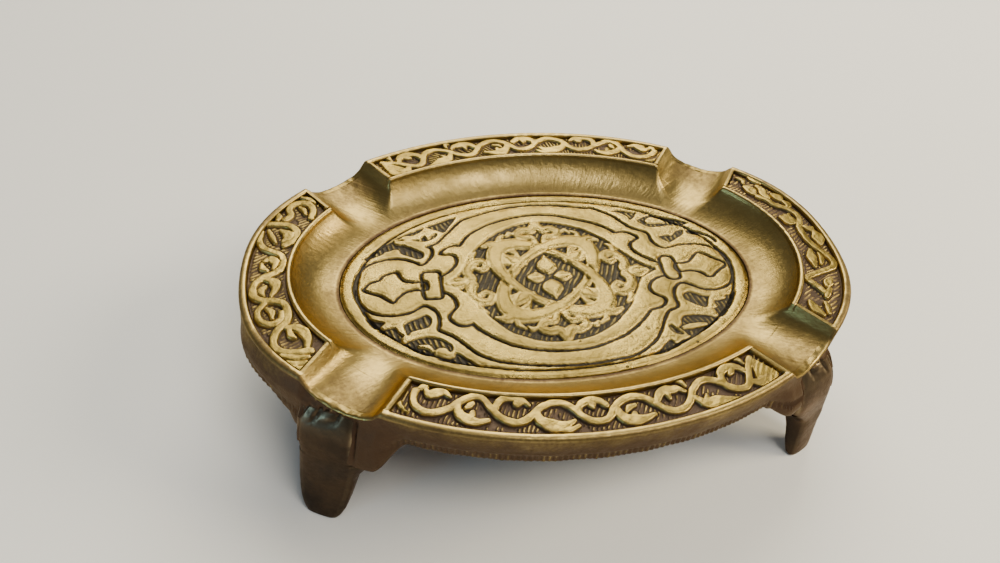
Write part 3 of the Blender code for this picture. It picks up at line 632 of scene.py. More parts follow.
@dataclass(frozen=True)
class Oval:
    """The tray's outline and its corners."""

    half_length: float = 49.0
    half_width: float = 35.3
    rim_width: float = 7.8
    fullness: float = 0.6
    leg_turn: float = 9.0
    leg_shift: float = 1.5

    def normal(self, angle: Array) -> Pair:
        """Outward direction of the outer edge at an angle.

        Args:
            angle: Angle round the tray.

        Returns:
            X and Y of the direction.
        """
        x, y = self.half_width * np.cos(angle), self.half_length * np.sin(angle)
        size = np.hypot(x, y)
        return x / size, y / size

    def point(self, inset: Array, angle: Array) -> Pair:
        """Point that lies inset from the outer edge, a little fuller at the ends.

        Args:
            inset: Distance from the outer edge.
            angle: Angle round the tray.

        Returns:
            X and Y.
        """
        return self.point_on(self.half_length - inset, self.half_width - inset, angle)

    def point_on(self, half_x: Array, half_y: Array, angle: Array) -> Pair:
        """Point on an oval with these half axes, with the fullness of the ends near the rim.

        Args:
            half_x: Half length of the oval.
            half_y: Half width of the oval.
            angle: Angle round the tray.

        Returns:
            X and Y.
        """
        x, y = half_x * np.cos(angle), half_y * np.sin(angle)
        near_end = np.abs(np.cos(angle)) > math.cos(math.pi / 4)
        share = np.clip(1.0 - (self.half_length - half_x) / self.rim_width, 0.0, 1.0)
        extra = np.where(near_end, self.fullness * np.sin(4.0 * angle) ** 2 * share, 0.0)
        nx, ny = self.normal(angle)
        return x + nx * extra, y + ny * extra

    def corner(self) -> Tuple[Array, Array, Array]:
        """First corner's edge point, and its directions outwards and to the short side.

        Returns:
            The point and the two directions, each with X and Y.
        """
        quarter = np.array(math.pi / 4)
        edge = np.array([self.half_length * math.cos(quarter), self.half_width * math.sin(quarter)])
        nx, ny = self.normal(quarter)
        return edge, np.array([float(nx), float(ny)]), np.array([float(ny), -float(nx)])

    def angle_at(self, half_x: float, half_y: float, sideways: float) -> float:
        """Angle on an oval where it lies sideways of the first corner's middle line.

        Args:
            half_x: Half length of the oval.
            half_y: Half width of the oval.
            sideways: Distance from the middle line, towards the short side.

        Returns:
            The angle.
        """
        edge, _, across = self.corner()
        reach_x, reach_y = half_x * across[0], half_y * across[1]
        share = (float(across @ edge) + sideways) / math.hypot(reach_x, reach_y)
        return math.atan2(reach_y, reach_x) + math.acos(min(1.0, share))

    def in_corner(self, x: Array, y: Array) -> Pair:
        """Outward and sideways distances from the nearest corner's edge point.

        Args:
            x: X of places.
            y: Y of places.

        Returns:
            Distances outwards and to the short side.
        """
        edge, out, across = self.corner()
        dx, dy = np.abs(x) - edge[0], np.abs(y) - edge[1]
        return dx * out[0] + dy * out[1], dx * across[0] + dy * across[1]

    def in_leg(self, x: Array, y: Array) -> Pair:
        """Outward and sideways distances in the frame of the nearest leg.

        Args:
            x: X of places.
            y: Y of places.

        Returns:
            Distances outwards and to the short side.
        """
        out, side = self.in_corner(x, y)
        turn = math.radians(self.leg_turn)
        side = side - self.leg_shift
        return (out * math.cos(turn) - side * math.sin(turn),
                out * math.sin(turn) + side * math.cos(turn))

    def from_leg(self, corner: Corner, out: Array, side: Array) -> Pair:
        """Plan places of points in the frame of a leg.

        Args:
            corner: Corner of the leg.
            out: Distances outwards.
            side: Distances to the short side.

        Returns:
            X and Y.
        """
        _, sign_x, sign_y = corner.value
        turn = math.radians(self.leg_turn)
        u = out * math.cos(turn) + side * math.sin(turn)
        w = -out * math.sin(turn) + side * math.cos(turn) + self.leg_shift
        edge, outward, across = self.corner()
        return (sign_x * (edge[0] + u * outward[0] + w * across[0]),
                sign_y * (edge[1] + u * outward[1] + w * across[1]))


class Zone(Enum):
    """Parts of the tray's section, from the middle of the floor round to the underside."""

    FLOOR = "floor"
    WALL = "wall"
    LIP = "lip"
    FIELD = "field"
    EDGE = "edge"
    SKIRT = "skirt"
    HEM = "hem"
    UNDER = "under"


@dataclass(frozen=True)
class Ring:
    """One ring of the tray's section, and how much it takes of each swelling."""

    half_x: float
    half_y: float
    height: float
    zone: Zone
    share: float = 0.0
    flare: float = 0.0
    drop: float = 0.0
    spread: float = 0.0


@dataclass
class TrayGrid:
    """Points of the tray, one row for each ring, with the measures that its shaping reads."""

    x: Array
    y: Array
    z: Array
    zones: Array
    shares: Array
    out: Array
    side: Array
    rest: Array
    bumps: Array
    waves: Array

    def within(self, *zones: Zone) -> Array:
        """Column that tells which rows lie in these zones."""
        return np.isin(self.zones, [zone.value for zone in zones])[:, None]

    def rows(self, zone: Zone) -> Array:
        """Numbers of the rows in a zone."""
        return np.nonzero(self.zones == zone.value)[0]


# Insets and falls of the rim's edge, from its frame's inner crease outwards
EDGE_PROFILE: Path = ((1.2, 0.62), (1.17, 0.26), (1.08, 0.08), (0.94, 0.01), (0.75, 0.0),
                      (0.52, 0.01), (0.34, 0.06), (0.19, 0.16), (0.07, 0.32), (0.01, 0.54))
# Height share of the skirt, then its shares of taper, flare, drop and spread
SKIRT_PROFILE: Tuple[Tuple[float, ...], ...] = (
    (0.0, 1.0, 0.94, 1.0, 1.0), (0.14, 1.0, 0.94, 0.85, 1.0), (0.35, 0.7, 0.62, 0.35, 0.92),
    (0.52, 0.4, 0.18, 0.05, 0.72), (0.869, 0.0, 0.0, 0.0, 0.0))


@dataclass
class Tray:
    """The cast tray: bowl, rim with its frames, rests, skirt, gussets and bosses."""

    oval: Oval
    finish: BrassFinish
    rim_top: float = 24.0
    floor_top: float = 19.1
    recess_floor: float = 17.3
    underside: float = 16.2
    lip_round: float = 0.6
    wall_steps: int = 32
    wall_roundness: float = 0.45
    outer_frame: float = 1.2
    inner_frame: float = 0.9
    field_steps: int = 19
    rest_half: float = 6.05
    rest_depth: float = 2.8
    rest_fall: float = 0.145
    rest_power: float = 2.0
    rest_soft: float = 0.5
    rest_blend: float = 0.7
    rest_reach: float = 16.0
    frame_end: float = 7.05
    frame_reach: float = 11.0
    floor_edge: Point = (35.1, 22.2)
    recess: Point = (34.45, 21.55)
    plate_end: float = 5.8
    plate_under: float = 21.0
    bowl_bend: Point = (37.1, 24.2)
    skirt_foot: float = 17.9
    skirt_height: float = 6.1
    skirt_taper: float = 0.5
    skirt_wall: float = 1.9
    skirt_spread: float = 1.6
    skirt_head: float = 23.2
    gusset_flare: float = 2.6
    gusset_flat: float = 5.2
    gusset_lean: float = 0.85
    knee_low: float = 12.2
    knee_high: float = 20.25
    knee_face: float = 3.0
    knee_half: float = 4.35
    knee_blend: float = 5.0
    tick_low: float = 16.4
    tick_high: float = 17.8
    segments: Tuple[int, ...] = (46, 4, 1, 36, 14, 4, 75)

    def _inset(self, inset: float, height: float, zone: Zone, share: float = 0.0,
               swellings: Sequence[float] = (0.0, 0.0, 0.0)) -> Ring:
        """Ring that lies inset from the outer edge.

        Args:
            inset: Distance from the outer edge.
            height: Height of the ring.
            zone: Part of the section that it belongs to.
            share: Its place within the zone.
            swellings: How much it takes of flare, drop and spread.

        Returns:
            The ring.
        """
        half_x, half_y = self.oval.half_length - inset, self.oval.half_width - inset
        return Ring(half_x, half_y, height, zone, share, *swellings)

    def _floor_rings(self) -> List[Ring]:
        """Rings from the middle of the recess up to the floor's edge.

        Returns:
            The rings in order.
        """
        (long, short), low = self.recess, self.recess_floor
        rings = [Ring(0.0, 0.0, low, Zone.FLOOR), Ring(17.0, 10.5, low, Zone.FLOOR)]
        for growth, height in ((0.0, low), (0.0, 18.2), (0.0, 18.95), (0.08, 19.07),
                               (0.25, self.floor_top)):
            rings.append(Ring(long + growth, short + growth, height, Zone.FLOOR))
        return rings

    def _wall_rings(self) -> List[Ring]:
        """Rings of the bowl's hollow wall, from the floor up to the lip.

        Returns:
            The rings in order.
        """
        lip_x = self.oval.half_length - self.oval.rim_width
        lip_y = self.oval.half_width - self.oval.rim_width
        start = self.rim_top - self.lip_round
        rings = []
        for step in range(self.wall_steps, -1, -1):
            straight = step / self.wall_steps
            turn = math.pi / 2 * straight
            along = straight + (1.0 - math.cos(turn) - straight) * self.wall_roundness
            down = straight + (math.sin(turn) - straight) * self.wall_roundness
            rings.append(Ring(lip_x + (self.floor_edge[0] - lip_x) * along,
                              lip_y + (self.floor_edge[1] - lip_y) * along,
                              start + (self.floor_top - start) * down, Zone.WALL))
        return rings

    def _rim_rings(self) -> List[Ring]:
        """Rings from the rounded lip over the inner frame, the field and the outer frame.

        Returns:
            The rings in order.
        """
        start = self.rim_top - self.lip_round
        rings = []
        for step in range(1, 5):
            turn = math.pi / 2 * step / 4
            inset = self.oval.rim_width - self.lip_round * (1.0 - math.cos(turn)) * 0.75
            rings.append(self._inset(inset, start + self.lip_round * math.sin(turn), Zone.LIP))
        inner = self.oval.rim_width - self.inner_frame
        for growth, fall in ((0.26, 0.0), (0.12, 0.10), (0.03, 0.32), (0.0, 0.62)):
            rings.append(self._inset(inner + growth, self.rim_top - fall, Zone.LIP))
        for step in range(self.field_steps + 1):
            inset = inner + (self.outer_frame - inner) * step / self.field_steps
            rings.append(self._inset(inset, self.rim_top, Zone.FIELD, step / self.field_steps))
        for inset, fall in EDGE_PROFILE:
            rings.append(self._inset(inset, self.rim_top - fall, Zone.EDGE, fall))
        return rings

    def _skirt_rings(self) -> List[Ring]:
        """Rings of the skirt's outer face and of its hem.

        Returns:
            The rings in order.
        """
        shares, *columns = np.array(SKIRT_PROFILE).T
        rings = []
        for share in np.linspace(shares[-1], 0.06, 19).tolist():
            taper, *swellings = (float(np.interp(share, shares, column)) for column in columns)
            rings.append(self._inset(self.skirt_taper * taper,
                                     self.skirt_foot + self.skirt_height * share,
                                     Zone.SKIRT, share, swellings))
        inside = self.skirt_taper + self.skirt_wall
        for inset, height, flare, drop in ((0.62, 18.02, 0.94, 0.98), (0.9, 17.9, 0.94, 1.0),
                                           (1.6, 17.88, 0.7, 1.0), (inside, 17.95, 0.47, 1.0)):
            rings.append(self._inset(inset, height, Zone.HEM, 0.0, (flare, drop, 1.0)))
        return rings

    def _under_rings(self) -> List[Ring]:
        """Rings from inside the skirt along the underside to its middle.

        Returns:
            The rings in order.
        """
        inside = self.skirt_taper + self.skirt_wall
        rings = []
        for share in (0.3, 0.6, 0.85):
            left = 1 - share
            rings.append(self._inset(inside, self.skirt_foot + 3.1 * share, Zone.UNDER, 0.0,
                                     (0.47 * left, left, left)))
        for share in np.linspace(0.0, 1.0, 7):
            inset = inside + (self.plate_end - inside) * share
            rings.append(self._inset(inset, self.plate_under, Zone.UNDER))
        end_x, end_y = self.oval.half_length - self.plate_end, self.oval.half_width - self.plate_end
        for share in np.linspace(0.12, 1.0, 8):
            rings.append(Ring(end_x + (self.bowl_bend[0] - end_x) * share,
                              end_y + (self.bowl_bend[1] - end_y) * share,
                              self.plate_under - 3.8 * share, Zone.UNDER))
        rings.append(Ring(36.4, 23.5, 16.5, Zone.UNDER))
        for share in (1.0, 0.75, 0.5, 0.25, 0.0):
            rings.append(Ring(self.floor_edge[0] * share, self.floor_edge[1] * share,
                              self.underside, Zone.UNDER))
        return rings

    def rings(self) -> List[Ring]:
        """Rings from the middle of the floor over the rim and round under the bowl."""
        return (self._floor_rings() + self._wall_rings() + self._rim_rings()
                + self._skirt_rings() + self._under_rings())

    def angles(self, ring: Ring) -> Array:
        """Angles of a ring's columns, lined up with the edges of the rests and the frames.

        Args:
            ring: The ring.

        Returns:
            Angles all the way round, the first and the last the same place.
        """
        half_x, half_y = max(ring.half_x, 30.0), max(ring.half_y, 19.0)
        marks = (self.frame_end, self.rest_half, 5.7, -2.7, -self.rest_half, -self.frame_end)
        knots = [0.0] + [self.oval.angle_at(half_x, half_y, mark) for mark in marks] + [math.pi / 2]
        quarter = [knots[0]]
        for start, end, count in zip(knots, knots[1:], self.segments):
            quarter += [start + (end - start) * step / count for step in range(1, count + 1)]
        first = np.array(quarter)
        second = math.pi - first[::-1][1:]
        upper = np.concatenate([first, second])
        return np.concatenate([upper, upper[1:] + math.pi])

    def rest_height(self, x: Array, y: Array) -> Array:
        """Height of the rests' surface, and far above the rim outside them.

        Args:
            x: X of places.
            y: Y of places.

        Returns:
            Heights.
        """
        out, side = self.oval.in_corner(x, y)
        depth = self.rest_depth - self.rest_fall * out
        share = np.zeros(np.shape(side))
        for shift in np.linspace(-self.rest_soft, self.rest_soft, 9):
            beside = np.abs(np.abs(side) + shift) / self.rest_half
            part = np.clip(1.0 - beside ** self.rest_power, 0.0, 1.0)
            share += part ** (1.0 / self.rest_power) / 9.0
        clear = 1.0 - ease(share, 0.0, 0.12)
        surface = self.rim_top - depth * share + self.rest_blend * clear
        return np.where(out > -self.rest_reach, surface, self.rim_top + 5.0)

    def swellings(self, angle: Array) -> Tuple[Array, Array, Array]:
        """Swellings of the skirt at angles round the tray.

        Args:
            angle: Angles.

        Returns:
            Share of the gusset, how far it drops, and share of the front-left spread.
        """
        folded = np.arctan2(np.abs(np.sin(angle)), np.abs(np.cos(angle)))
        x, y = self.oval.point(np.array(0.0), folded)
        edge, _, across = self.oval.corner()
        dx, dy = x - edge[0], y - edge[1]
        side = dx * across[0] + dy * across[1]
        run = np.where(side > 0, 8.0, 4.8)
        share = ease(1.0 - (np.hypot(dx, dy) - self.gusset_flat) / run)
        front_right = (np.cos(angle) > 0) & (np.sin(angle) < 0)
        long_drop = np.where(front_right, 2.6, 5.4)
        drop = long_drop + (3.3 - long_drop) * ease((side / 4.0 + 1.0) / 2.0)
        front_left = (np.cos(angle) <= 0) & (np.sin(angle) <= 0)
        spread = ease((-np.sin(angle) - 0.10) / 0.22)
        spread = spread * ease((-np.cos(angle) - math.cos(math.pi / 4)) / 0.10)
        return share, drop, np.where(front_left, spread, 0.0)

    def _laid_out(self, rings: Sequence[Ring]) -> TrayGrid:
        """Lay out the rings with the gussets and the front-left spread.

        Args:
            rings: Rings of the section.

        Returns:
            The grid, before its rests, ticks and wear.
        """
        x, y, z = (np.zeros((len(rings), sum(self.segments) * 4 + 1)) for _ in range(3))
        for row, ring in enumerate(rings):
            angle = self.angles(ring)
            px, py = self.oval.point_on(np.array(ring.half_x), np.array(ring.half_y), angle)
            share, drop, spread = self.swellings(angle)
            _, beside = self.oval.in_corner(px, py)
            front_right = (px > 0.0) & (py < 0.0)
            lean = 1.0 - self.gusset_lean * front_right * ease(beside, 0.5, 4.0)
            reach = np.maximum(self.gusset_flare * ring.flare * share * lean,
                               self.skirt_spread * ring.spread * spread)
            nx, ny = self.oval.normal(angle)
            x[row], y[row] = px + nx * reach, py + ny * reach
            z[row] = ring.height - drop * ring.drop * share
        out, side = self.oval.in_corner(x, y)
        return TrayGrid(x, y, z, np.array([ring.zone.value for ring in rings]),
                        np.array([ring.share for ring in rings]), out, side,
                        self.rest_height(x, y), Unevenness(3).over(x, y, z, 0.9),
                        Unevenness(5).over(x, y, z, 3.4))

    def _in_frame(self, grid: TrayGrid) -> Array:
        """Places between the end bands of two strips."""
        return (np.abs(grid.side) < self.frame_end + 0.02) & (grid.out > -self.frame_reach)

    def _cut_rests(self, rings: Sequence[Ring], grid: TrayGrid) -> None:
        """Lower the bowl, the rim and the skirt to the rests, and sink the strips' recesses.

        Args:
            rings: Rings of the section.
            grid: Points of the tray, changed in place.
        """
        z, rest, blend, in_frame = grid.z, grid.rest, self.rest_blend, self._in_frame(grid)
        for row, ring in enumerate(rings):
            high_wall = ring.zone in (Zone.WALL, Zone.FLOOR) and ring.height > 19.0
            if high_wall or ring.zone is Zone.LIP:
                z[row] = soft_min(z[row], rest[row], blend)
            elif ring.zone is Zone.FIELD:
                sunk = 22.35 if 0.0 < ring.share < 1.0 else 22.6
                band_top = self.rim_top - 0.12 * ease(np.abs(grid.side[row]), 6.75, self.frame_end)
                z[row] = np.where(in_frame[row], soft_min(band_top, rest[row], blend), sunk)
            elif ring.zone is Zone.EDGE:
                inner = ring.half_x < self.oval.half_length - 0.85
                plain = self.rim_top - np.where(in_frame[row] & inner, 0.05, ring.share)
                z[row] = soft_min(plain, rest[row] - (0.0 if inner else 0.7 * ring.share), blend)
        lowered = np.clip(self.skirt_head - z[grid.rows(Zone.EDGE)[-1]], 0.0, None)
        whole = SKIRT_PROFILE[-1][0]
        for row in grid.rows(Zone.SKIRT):
            share = (whole - grid.shares[row]) / whole
            z[row] = z[row] - lowered * (1.0 - share) ** 1.5
        for row in grid.rows(Zone.UNDER):
            if rings[row].half_x > 36.0:
                z[row] = np.minimum(z[row], rest[row] - 1.4)

    def _seat_legs(self, grid: TrayGrid) -> None:
        """Bring the skirt out to the knees, so that only a joint line shows round each.

        Args:
            grid: Points of the tray, changed in place.
        """
        x, y, z = grid.x, grid.y, grid.z
        out, side = self.oval.in_leg(x, y)
        rows = grid.within(Zone.SKIRT) | (grid.within(Zone.HEM) & (out > 0.0))
        rise = np.clip((z - self.knee_low) / (self.knee_high - self.knee_low), 0.0, 1.0)
        face = self.knee_face * (1.0 - 0.94 * rise ** 2.6)
        front_right = (side > 0.0) & (x > 0.0) & (y < 0.0)
        half = np.where(front_right, self.knee_half - 0.65, self.knee_half)
        behind = np.abs(side) < half
        flush = face - np.where(behind, 0.30 * (1.0 - ease(z, 19.8, 20.15)), 0.22)
        blend = np.where(side > 0.0, 0.05, self.knee_blend)
        spread = 1.0 - ease(np.abs(side) - half, 0.0, blend)
        below = 1.0 - ease(z, self.knee_high - 0.3, self.knee_high + 0.8)
        push = np.where(behind, flush - out, np.clip(flush - out, 0.0, None) * spread) * below
        push = np.where(rows & (out > -7.0), push, 0.0)
        line = np.exp(-((np.abs(side) - self.knee_half) / 0.22) ** 2)
        line = line * ease(z, self.knee_low + 0.6, 15.0)
        push -= np.where(rows, 0.35 * line * below * (side < 0.0) + chips(side, z) * below, 0.0)
        turn = math.radians(self.oval.leg_turn)
        _, outward, across = self.oval.corner()
        x += np.sign(x) * push * (math.cos(turn) * outward[0] - math.sin(turn) * across[0])
        y += np.sign(y) * push * (math.cos(turn) * outward[1] - math.sin(turn) * across[1])

    def _work_surface(self, grid: TrayGrid) -> Dict[str, Array]:
        """Cut the ticks and nicks, make the cast faces uneven and tell where dirt, rubbing, painted
        shade and painted highlights lie.

        Args:
            grid: Points of the tray, changed in place.

        Returns:
            Values of the attributes patina_and_shade, wear_and_glint and pitted.
        """
        x, y, z, out, side = grid.x, grid.y, grid.z, grid.out, grid.side
        bumps, waves, in_frame = grid.bumps, grid.waves, self._in_frame(grid)
        half_x, half_y = self.oval.half_length, self.oval.half_width
        column = np.arange(z.shape[1])[None, :]
        skirt = grid.within(Zone.SKIRT, Zone.HEM)
        in_rest = np.abs(side) < self.rest_half
        # Chips below the rests run on from the legs, and their right walls get a painted highlight
        # in the rubbed colour
        _, leg_side = self.oval.in_leg(x, y)
        by_leg = skirt & (np.abs(leg_side) < 4.4)
        cut = np.where(by_leg, chips(leg_side, z), 0.0)
        lit = np.clip((chips(leg_side + CHIP_GLINT, z) - cut) * 3.0, 0.0, 1.0)
        lit *= np.where(by_leg, 1.0, 0.0) * ease(bumps, -0.5, 0.2)
        # Ticks stand on every second column along the foot of the skirt
        ticks = np.cos(column * math.pi)
        low = (grid.shares < 0.30)[:, None] & skirt
        z += np.where(low, 0.10 * ticks * ease(z, self.tick_low, self.tick_high), 0.0)
        trough = 1.0 - ease(np.abs(side), 3.6, 5.2)
        worked = 0.02 * waves + 0.13 * bumps * ease(out, -5.0, -0.6)
        upper = grid.within(Zone.FIELD, Zone.EDGE, Zone.LIP, Zone.WALL)
        z += np.where(upper & in_rest, worked * trough, 0.0)
        nicks = np.clip(np.cos(column * 2.0 * math.pi / 5.0), 0.0, 1.0) * ease(waves, -0.1, 0.4)
        crests = grid.within(Zone.LIP, Zone.EDGE)
        z -= np.where(crests & (z > 23.6), 0.05 * nicks, 0.0)
        z += np.where(grid.within(Zone.WALL), 0.02 * waves, 0.0)
        nx, ny = self.oval.normal(np.arctan2(y / half_y, x / half_x))
        between = ease(z, self.tick_low, self.tick_high) * (1.0 - ticks) / 2.0
        rough = np.where(skirt, 0.05 * bumps + 0.07 * waves, 0.0)
        rough = rough - np.where(low, 0.20 * between, 0.0)
        x[:] = np.clip(x + nx * rough, 0.02 - half_x, half_x - 0.02)
        y[:] = np.clip(y + ny * rough, 0.02 - half_y, half_y - 0.02)
        patina_and_shade = np.where(grid.within(Zone.FLOOR), 0.7, 0.0)
        patina_and_shade = patina_and_shade + np.where(grid.within(Zone.WALL), 0.34 * ease(-z, -20.4, -19.1), 0.0)
        # The skirt is patinated all over and painted darker towards its foot and round the corners
        # below the rests: painted shade.
        corner = np.abs(side) * 0.5 + np.clip(-out, 0.0, None) * 0.2
        shade = 0.64 + 0.40 * ease(-z, -23.2, -18.6) + 0.3 * (1.0 - ease(corner, 2.0, 6.0))
        patina_and_shade += np.where(skirt, shade, 0.0)
        outer = grid.within(Zone.EDGE) & (x ** 2 / 48.55 ** 2 + y ** 2 / 34.85 ** 2 > 1.0)
        patina_and_shade += np.where(outer, 0.5 * (1.0 - trough), 0.0)
        patina_and_shade += np.where(grid.within(Zone.UNDER), 0.85, 0.0)
        # Darker over the rests, most towards their outer ends.
        rest_darkening = trough * ease(out, -10.5, -3.5)
        inner = grid.within(Zone.FIELD, Zone.LIP, Zone.WALL)
        patina_and_shade += np.where(inner & in_rest, 0.42 * rest_darkening, 0.0)
        patina_and_shade += np.where(grid.within(Zone.FIELD) & ~in_frame, 1.0, 0.0)
        wear_and_glint = np.where(crests & (z > 23.85), 0.35 + 0.4 * nicks, 0.0)
        # The tips of the ticks are partly rubbed and partly lit with a painted highlight.
        tips_rubbed_and_lit = np.clip(ticks, 0.0, 1.0) * ease(bumps, -0.4, 0.4) * ease(z, 16.9, 17.9)
        patina_and_shade -= np.where(low, 0.45 * tips_rubbed_and_lit, 0.0)
        wear_and_glint += np.where(low, 0.5 * tips_rubbed_and_lit, 0.0) + 0.8 * lit
        patina_and_shade += 0.9 * cut - 0.7 * lit
        return {"patina_and_shade": np.clip(patina_and_shade, 0.0, 1.15), "wear_and_glint": np.clip(wear_and_glint, 0.0, 1.0),
                "pitted": np.zeros(z.shape)}

    def build(self) -> Piece:
        """Model the tray.

        Returns:
            The finished tray.
        """
        rings = self.rings()
        grid = self._laid_out(rings)
        self._cut_rests(rings, grid)
        self._seat_legs(grid)
        values = self._work_surface(grid)
        tray = sheet_of("tray_body", np.stack([grid.x, grid.y, grid.z], axis=-1) * MM)
        for label, value in values.items():
            keep_value(tray, label, value)
        close_up(tray, 38.0)
        return seat(tray, self.finish, "tray_casting")


@dataclass
class Boss:
    """The wedge under a rest that holds a leg's seat."""

    oval: Oval
    corner: Corner
    width: float = 13.0
    shift: float = 0.6
    setback: float = 1.45
    length: float = 10.8
    top: float = 21.0
    top_fall: float = 3.3
    bottom: float = 12.75
    bottom_rise: float = 2.5
    rounding: float = 1.2

    def build(self) -> Piece:
        """Model the wedge from a cube.

        Returns:
            The wedge, to be joined to the tray.
        """
        name, sign_x, sign_y = self.corner.value
        bpy.ops.object.select_all(action="DESELECT")
        bpy.ops.mesh.primitive_cube_add(size=1.0)
        wedge = bpy.context.object
        wedge.name = "boss_" + name
        edge, outward, across = self.oval.corner()
        for vertex in wedge.data.vertices:
            at_back = vertex.co.x < 0
            u = -self.setback - (self.length if at_back else 0.0)
            w = self.shift + vertex.co.y * self.width
            low = self.bottom + (self.bottom_rise if at_back else 0.0)
            high = self.top - (self.top_fall if at_back else 0.0)
            spot = edge + u * outward + w * across
            level = high if vertex.co.z > 0 else low
            vertex.co = (sign_x * spot[0] * MM, sign_y * spot[1] * MM, level * MM)
        bpy.ops.object.mode_set(mode="EDIT")
        bpy.ops.mesh.select_all(action="SELECT")
        bpy.ops.mesh.normals_make_consistent(inside=False)
        bpy.ops.object.mode_set(mode="OBJECT")
        bevel = wedge.modifiers.new("Rounded", "BEVEL")
        bevel.width = self.rounding * MM
        bevel.segments = 4
        bpy.ops.object.modifier_apply(modifier=bevel.name)
        bpy.ops.object.shade_smooth_by_angle(angle=math.radians(38.0))
        for label, value in (("patina_and_shade", 0.8), ("wear_and_glint", 0.0), ("pitted", 0.0)):
            keep_value(wedge, label, np.full(len(wedge.data.vertices), value))
        return wedge


def join_to(piece: Piece, others: Sequence[Piece]) -> None:
    """Join small meshes to a piece and give them its finish.

    Args:
        piece: Piece that takes them up.
        others: Meshes to be joined to it.
    """
    bpy.ops.object.select_all(action="DESELECT")
    for other in others:
        other.data.materials.append(piece.data.materials[0])
        other.select_set(True)
    piece.select_set(True)
    bpy.context.view_layer.objects.active = piece
    bpy.ops.object.join()


# ---------------------------------------------------------------- the chased plaque

# Length in millimetres of one unit of the drawn ornaments
UNIT = 1.0125

STRAP_OUTER: Path = (
    (0, 18.6), (4, 18.3), (8, 17.4), (10, 17), (11.2, 16.8), (12.5, 15.9), (13.8, 14.9),
    (14.8, 13.9), (15.8, 12.4), (16.8, 11), (18, 10.1), (19.2, 9.4), (19.7, 8.6), (19.7, 7.4),
    (20, 6.2), (20.7, 5.4), (21.6, 5), (22.5, 5.1), (24, 5.5), (26, 5.6), (28, 5.3), (29.5, 4.6),
    (30.8, 3.4), (31.5, 2), (31.7, 0), (31.3, -2.2), (30.4, -3.9), (29.3, -5), (27.5, -5.7),
    (25.5, -5.7), (24, -5), (22.9, -4.2), (22, -3.7), (21, -3.9), (20.1, -4.7), (19.6, -5.9),
    (19.4, -7.2), (19.4, -8.5), (18.8, -9.2), (17.5, -9.7), (16.5, -10.9), (15.7, -12.3),
    (14.8, -13.8), (13.7, -15.2), (12.5, -16.2), (11, -17.2), (9.5, -17.9), (8, -18.2), (4, -18.7),
    (0, -18.8), (-4, -18.5), (-8, -17.8), (-10, -17.3), (-11.5, -16.8), (-13, -16), (-14.2, -15.1),
    (-15.2, -13.9), (-16.2, -12.6), (-17.4, -11.3), (-18.5, -10.5), (-19.3, -9.8), (-19, -8.5),
    (-19, -7), (-19.5, -5.8), (-20.4, -4.9), (-21.3, -4.6), (-22.2, -5.2), (-23.6, -5.9),
    (-25.5, -6.2), (-27.5, -6.0), (-29, -5.4), (-30.2, -4.3), (-31, -3), (-31.5, -1.6), (-31.7, 0),
    (-31.5, 1.8), (-31, 3.4), (-30.2, 4.7), (-29, 5.7), (-27.5, 6.3), (-25.5, 6.6), (-23.5, 6.3),
    (-22, 5.6), (-20.9, 4.8), (-20.3, 4.9), (-19.6, 5.6), (-18.9, 6.6), (-18.6, 7.8), (-18.8, 8.7),
    (-19.3, 9.1), (-18, 9.7), (-17, 10.6), (-16, 11.8), (-15, 13), (-14, 14.2), (-13, 15.2),
    (-12, 15.8), (-10, 16.6), (-8, 17.3), (-4, 18.3),
)
STRAP_INNER: Tuple[Path, ...] = (
    ((-13.8, 8.9), (-12.6, 10.8), (-11.5, 11.9), (-10, 12.9), (-8, 14), (-4, 15.3), (0, 15.8),
     (4, 15.3), (8, 13.7), (10, 12.8), (11.5, 11.9), (12.8, 10.8), (13.8, 9.8), (14.6, 9.9),
     (15.6, 9.7), (16.7, 9), (17.5, 8.1), (16.9, 7.6), (16, 7), (15.6, 6.2), (15.7, 5), (16.3, 4),
     (17.2, 3), (18.2, 2.2), (19.2, 1.6)),
    ((-13.8, 8.9), (-15, 9), (-16, 8.6), (-16.9, 8), (-17.3, 7.2), (-16.8, 6.9), (-15.8, 6.8),
     (-15.0, 6.3), (-14.8, 5.2), (-15.1, 4.2), (-15.9, 3.2), (-16.7, 2.4), (-17.9, 1.7)),
    ((-17.9, -1.9), (-16.8, -2.6), (-16.1, -3.8), (-16.0, -5.2), (-16.6, -6), (-17.2, -6.8),
     (-17.4, -7.6), (-17, -8.5), (-16, -9.3), (-14.8, -9.4), (-14, -9.2)),
    ((-14, -9.2), (-13.4, -10.2), (-12.4, -11.2), (-11.2, -12.3), (-10, -13.2), (-8, -14.4),
     (-4, -15.6), (0, -16), (4, -15.7), (8, -14.3), (9.5, -13.6), (11, -12.6), (12.6, -11.2),
     (13.8, -10), (14.6, -9.1)),
    ((14.6, -9.1), (15.8, -8.9), (17, -8.4), (17.7, -7.5), (17.5, -6.7), (16.7, -6.1), (16, -5.3),
     (15.9, -4.3), (16.4, -3.2), (17.4, -2.3), (19.2, -1.7)),
)
FIELD_EDGE: Path = (
    (0, 14.1), (4, 13.4), (8, 11.6), (9.5, 10.4), (11, 9), (12.3, 7.5), (13.3, 6), (14.3, 4.4),
    (15.5, 2.8), (17, 1.3), (18.7, 0), (17, -1.1), (15.5, -2), (14.5, -3.6), (13.5, -5.4),
    (12.5, -7.2), (11.2, -8.8), (9.7, -10.3), (8, -11.8), (4, -13.8), (0, -14.4), (-4, -14),
    (-8, -12), (-9.6, -10.3), (-11, -8.6), (-12, -6.8), (-13, -5), (-14, -3.2), (-15.5, -1.5),
    (-17.6, -0.2), (-16.2, 0.9), (-15, 1.9), (-14, 3.6), (-13, 5.6), (-12, 7.2), (-11, 8.4),
    (-9.5, 10), (-8, 11.3), (-4, 13.4),
)
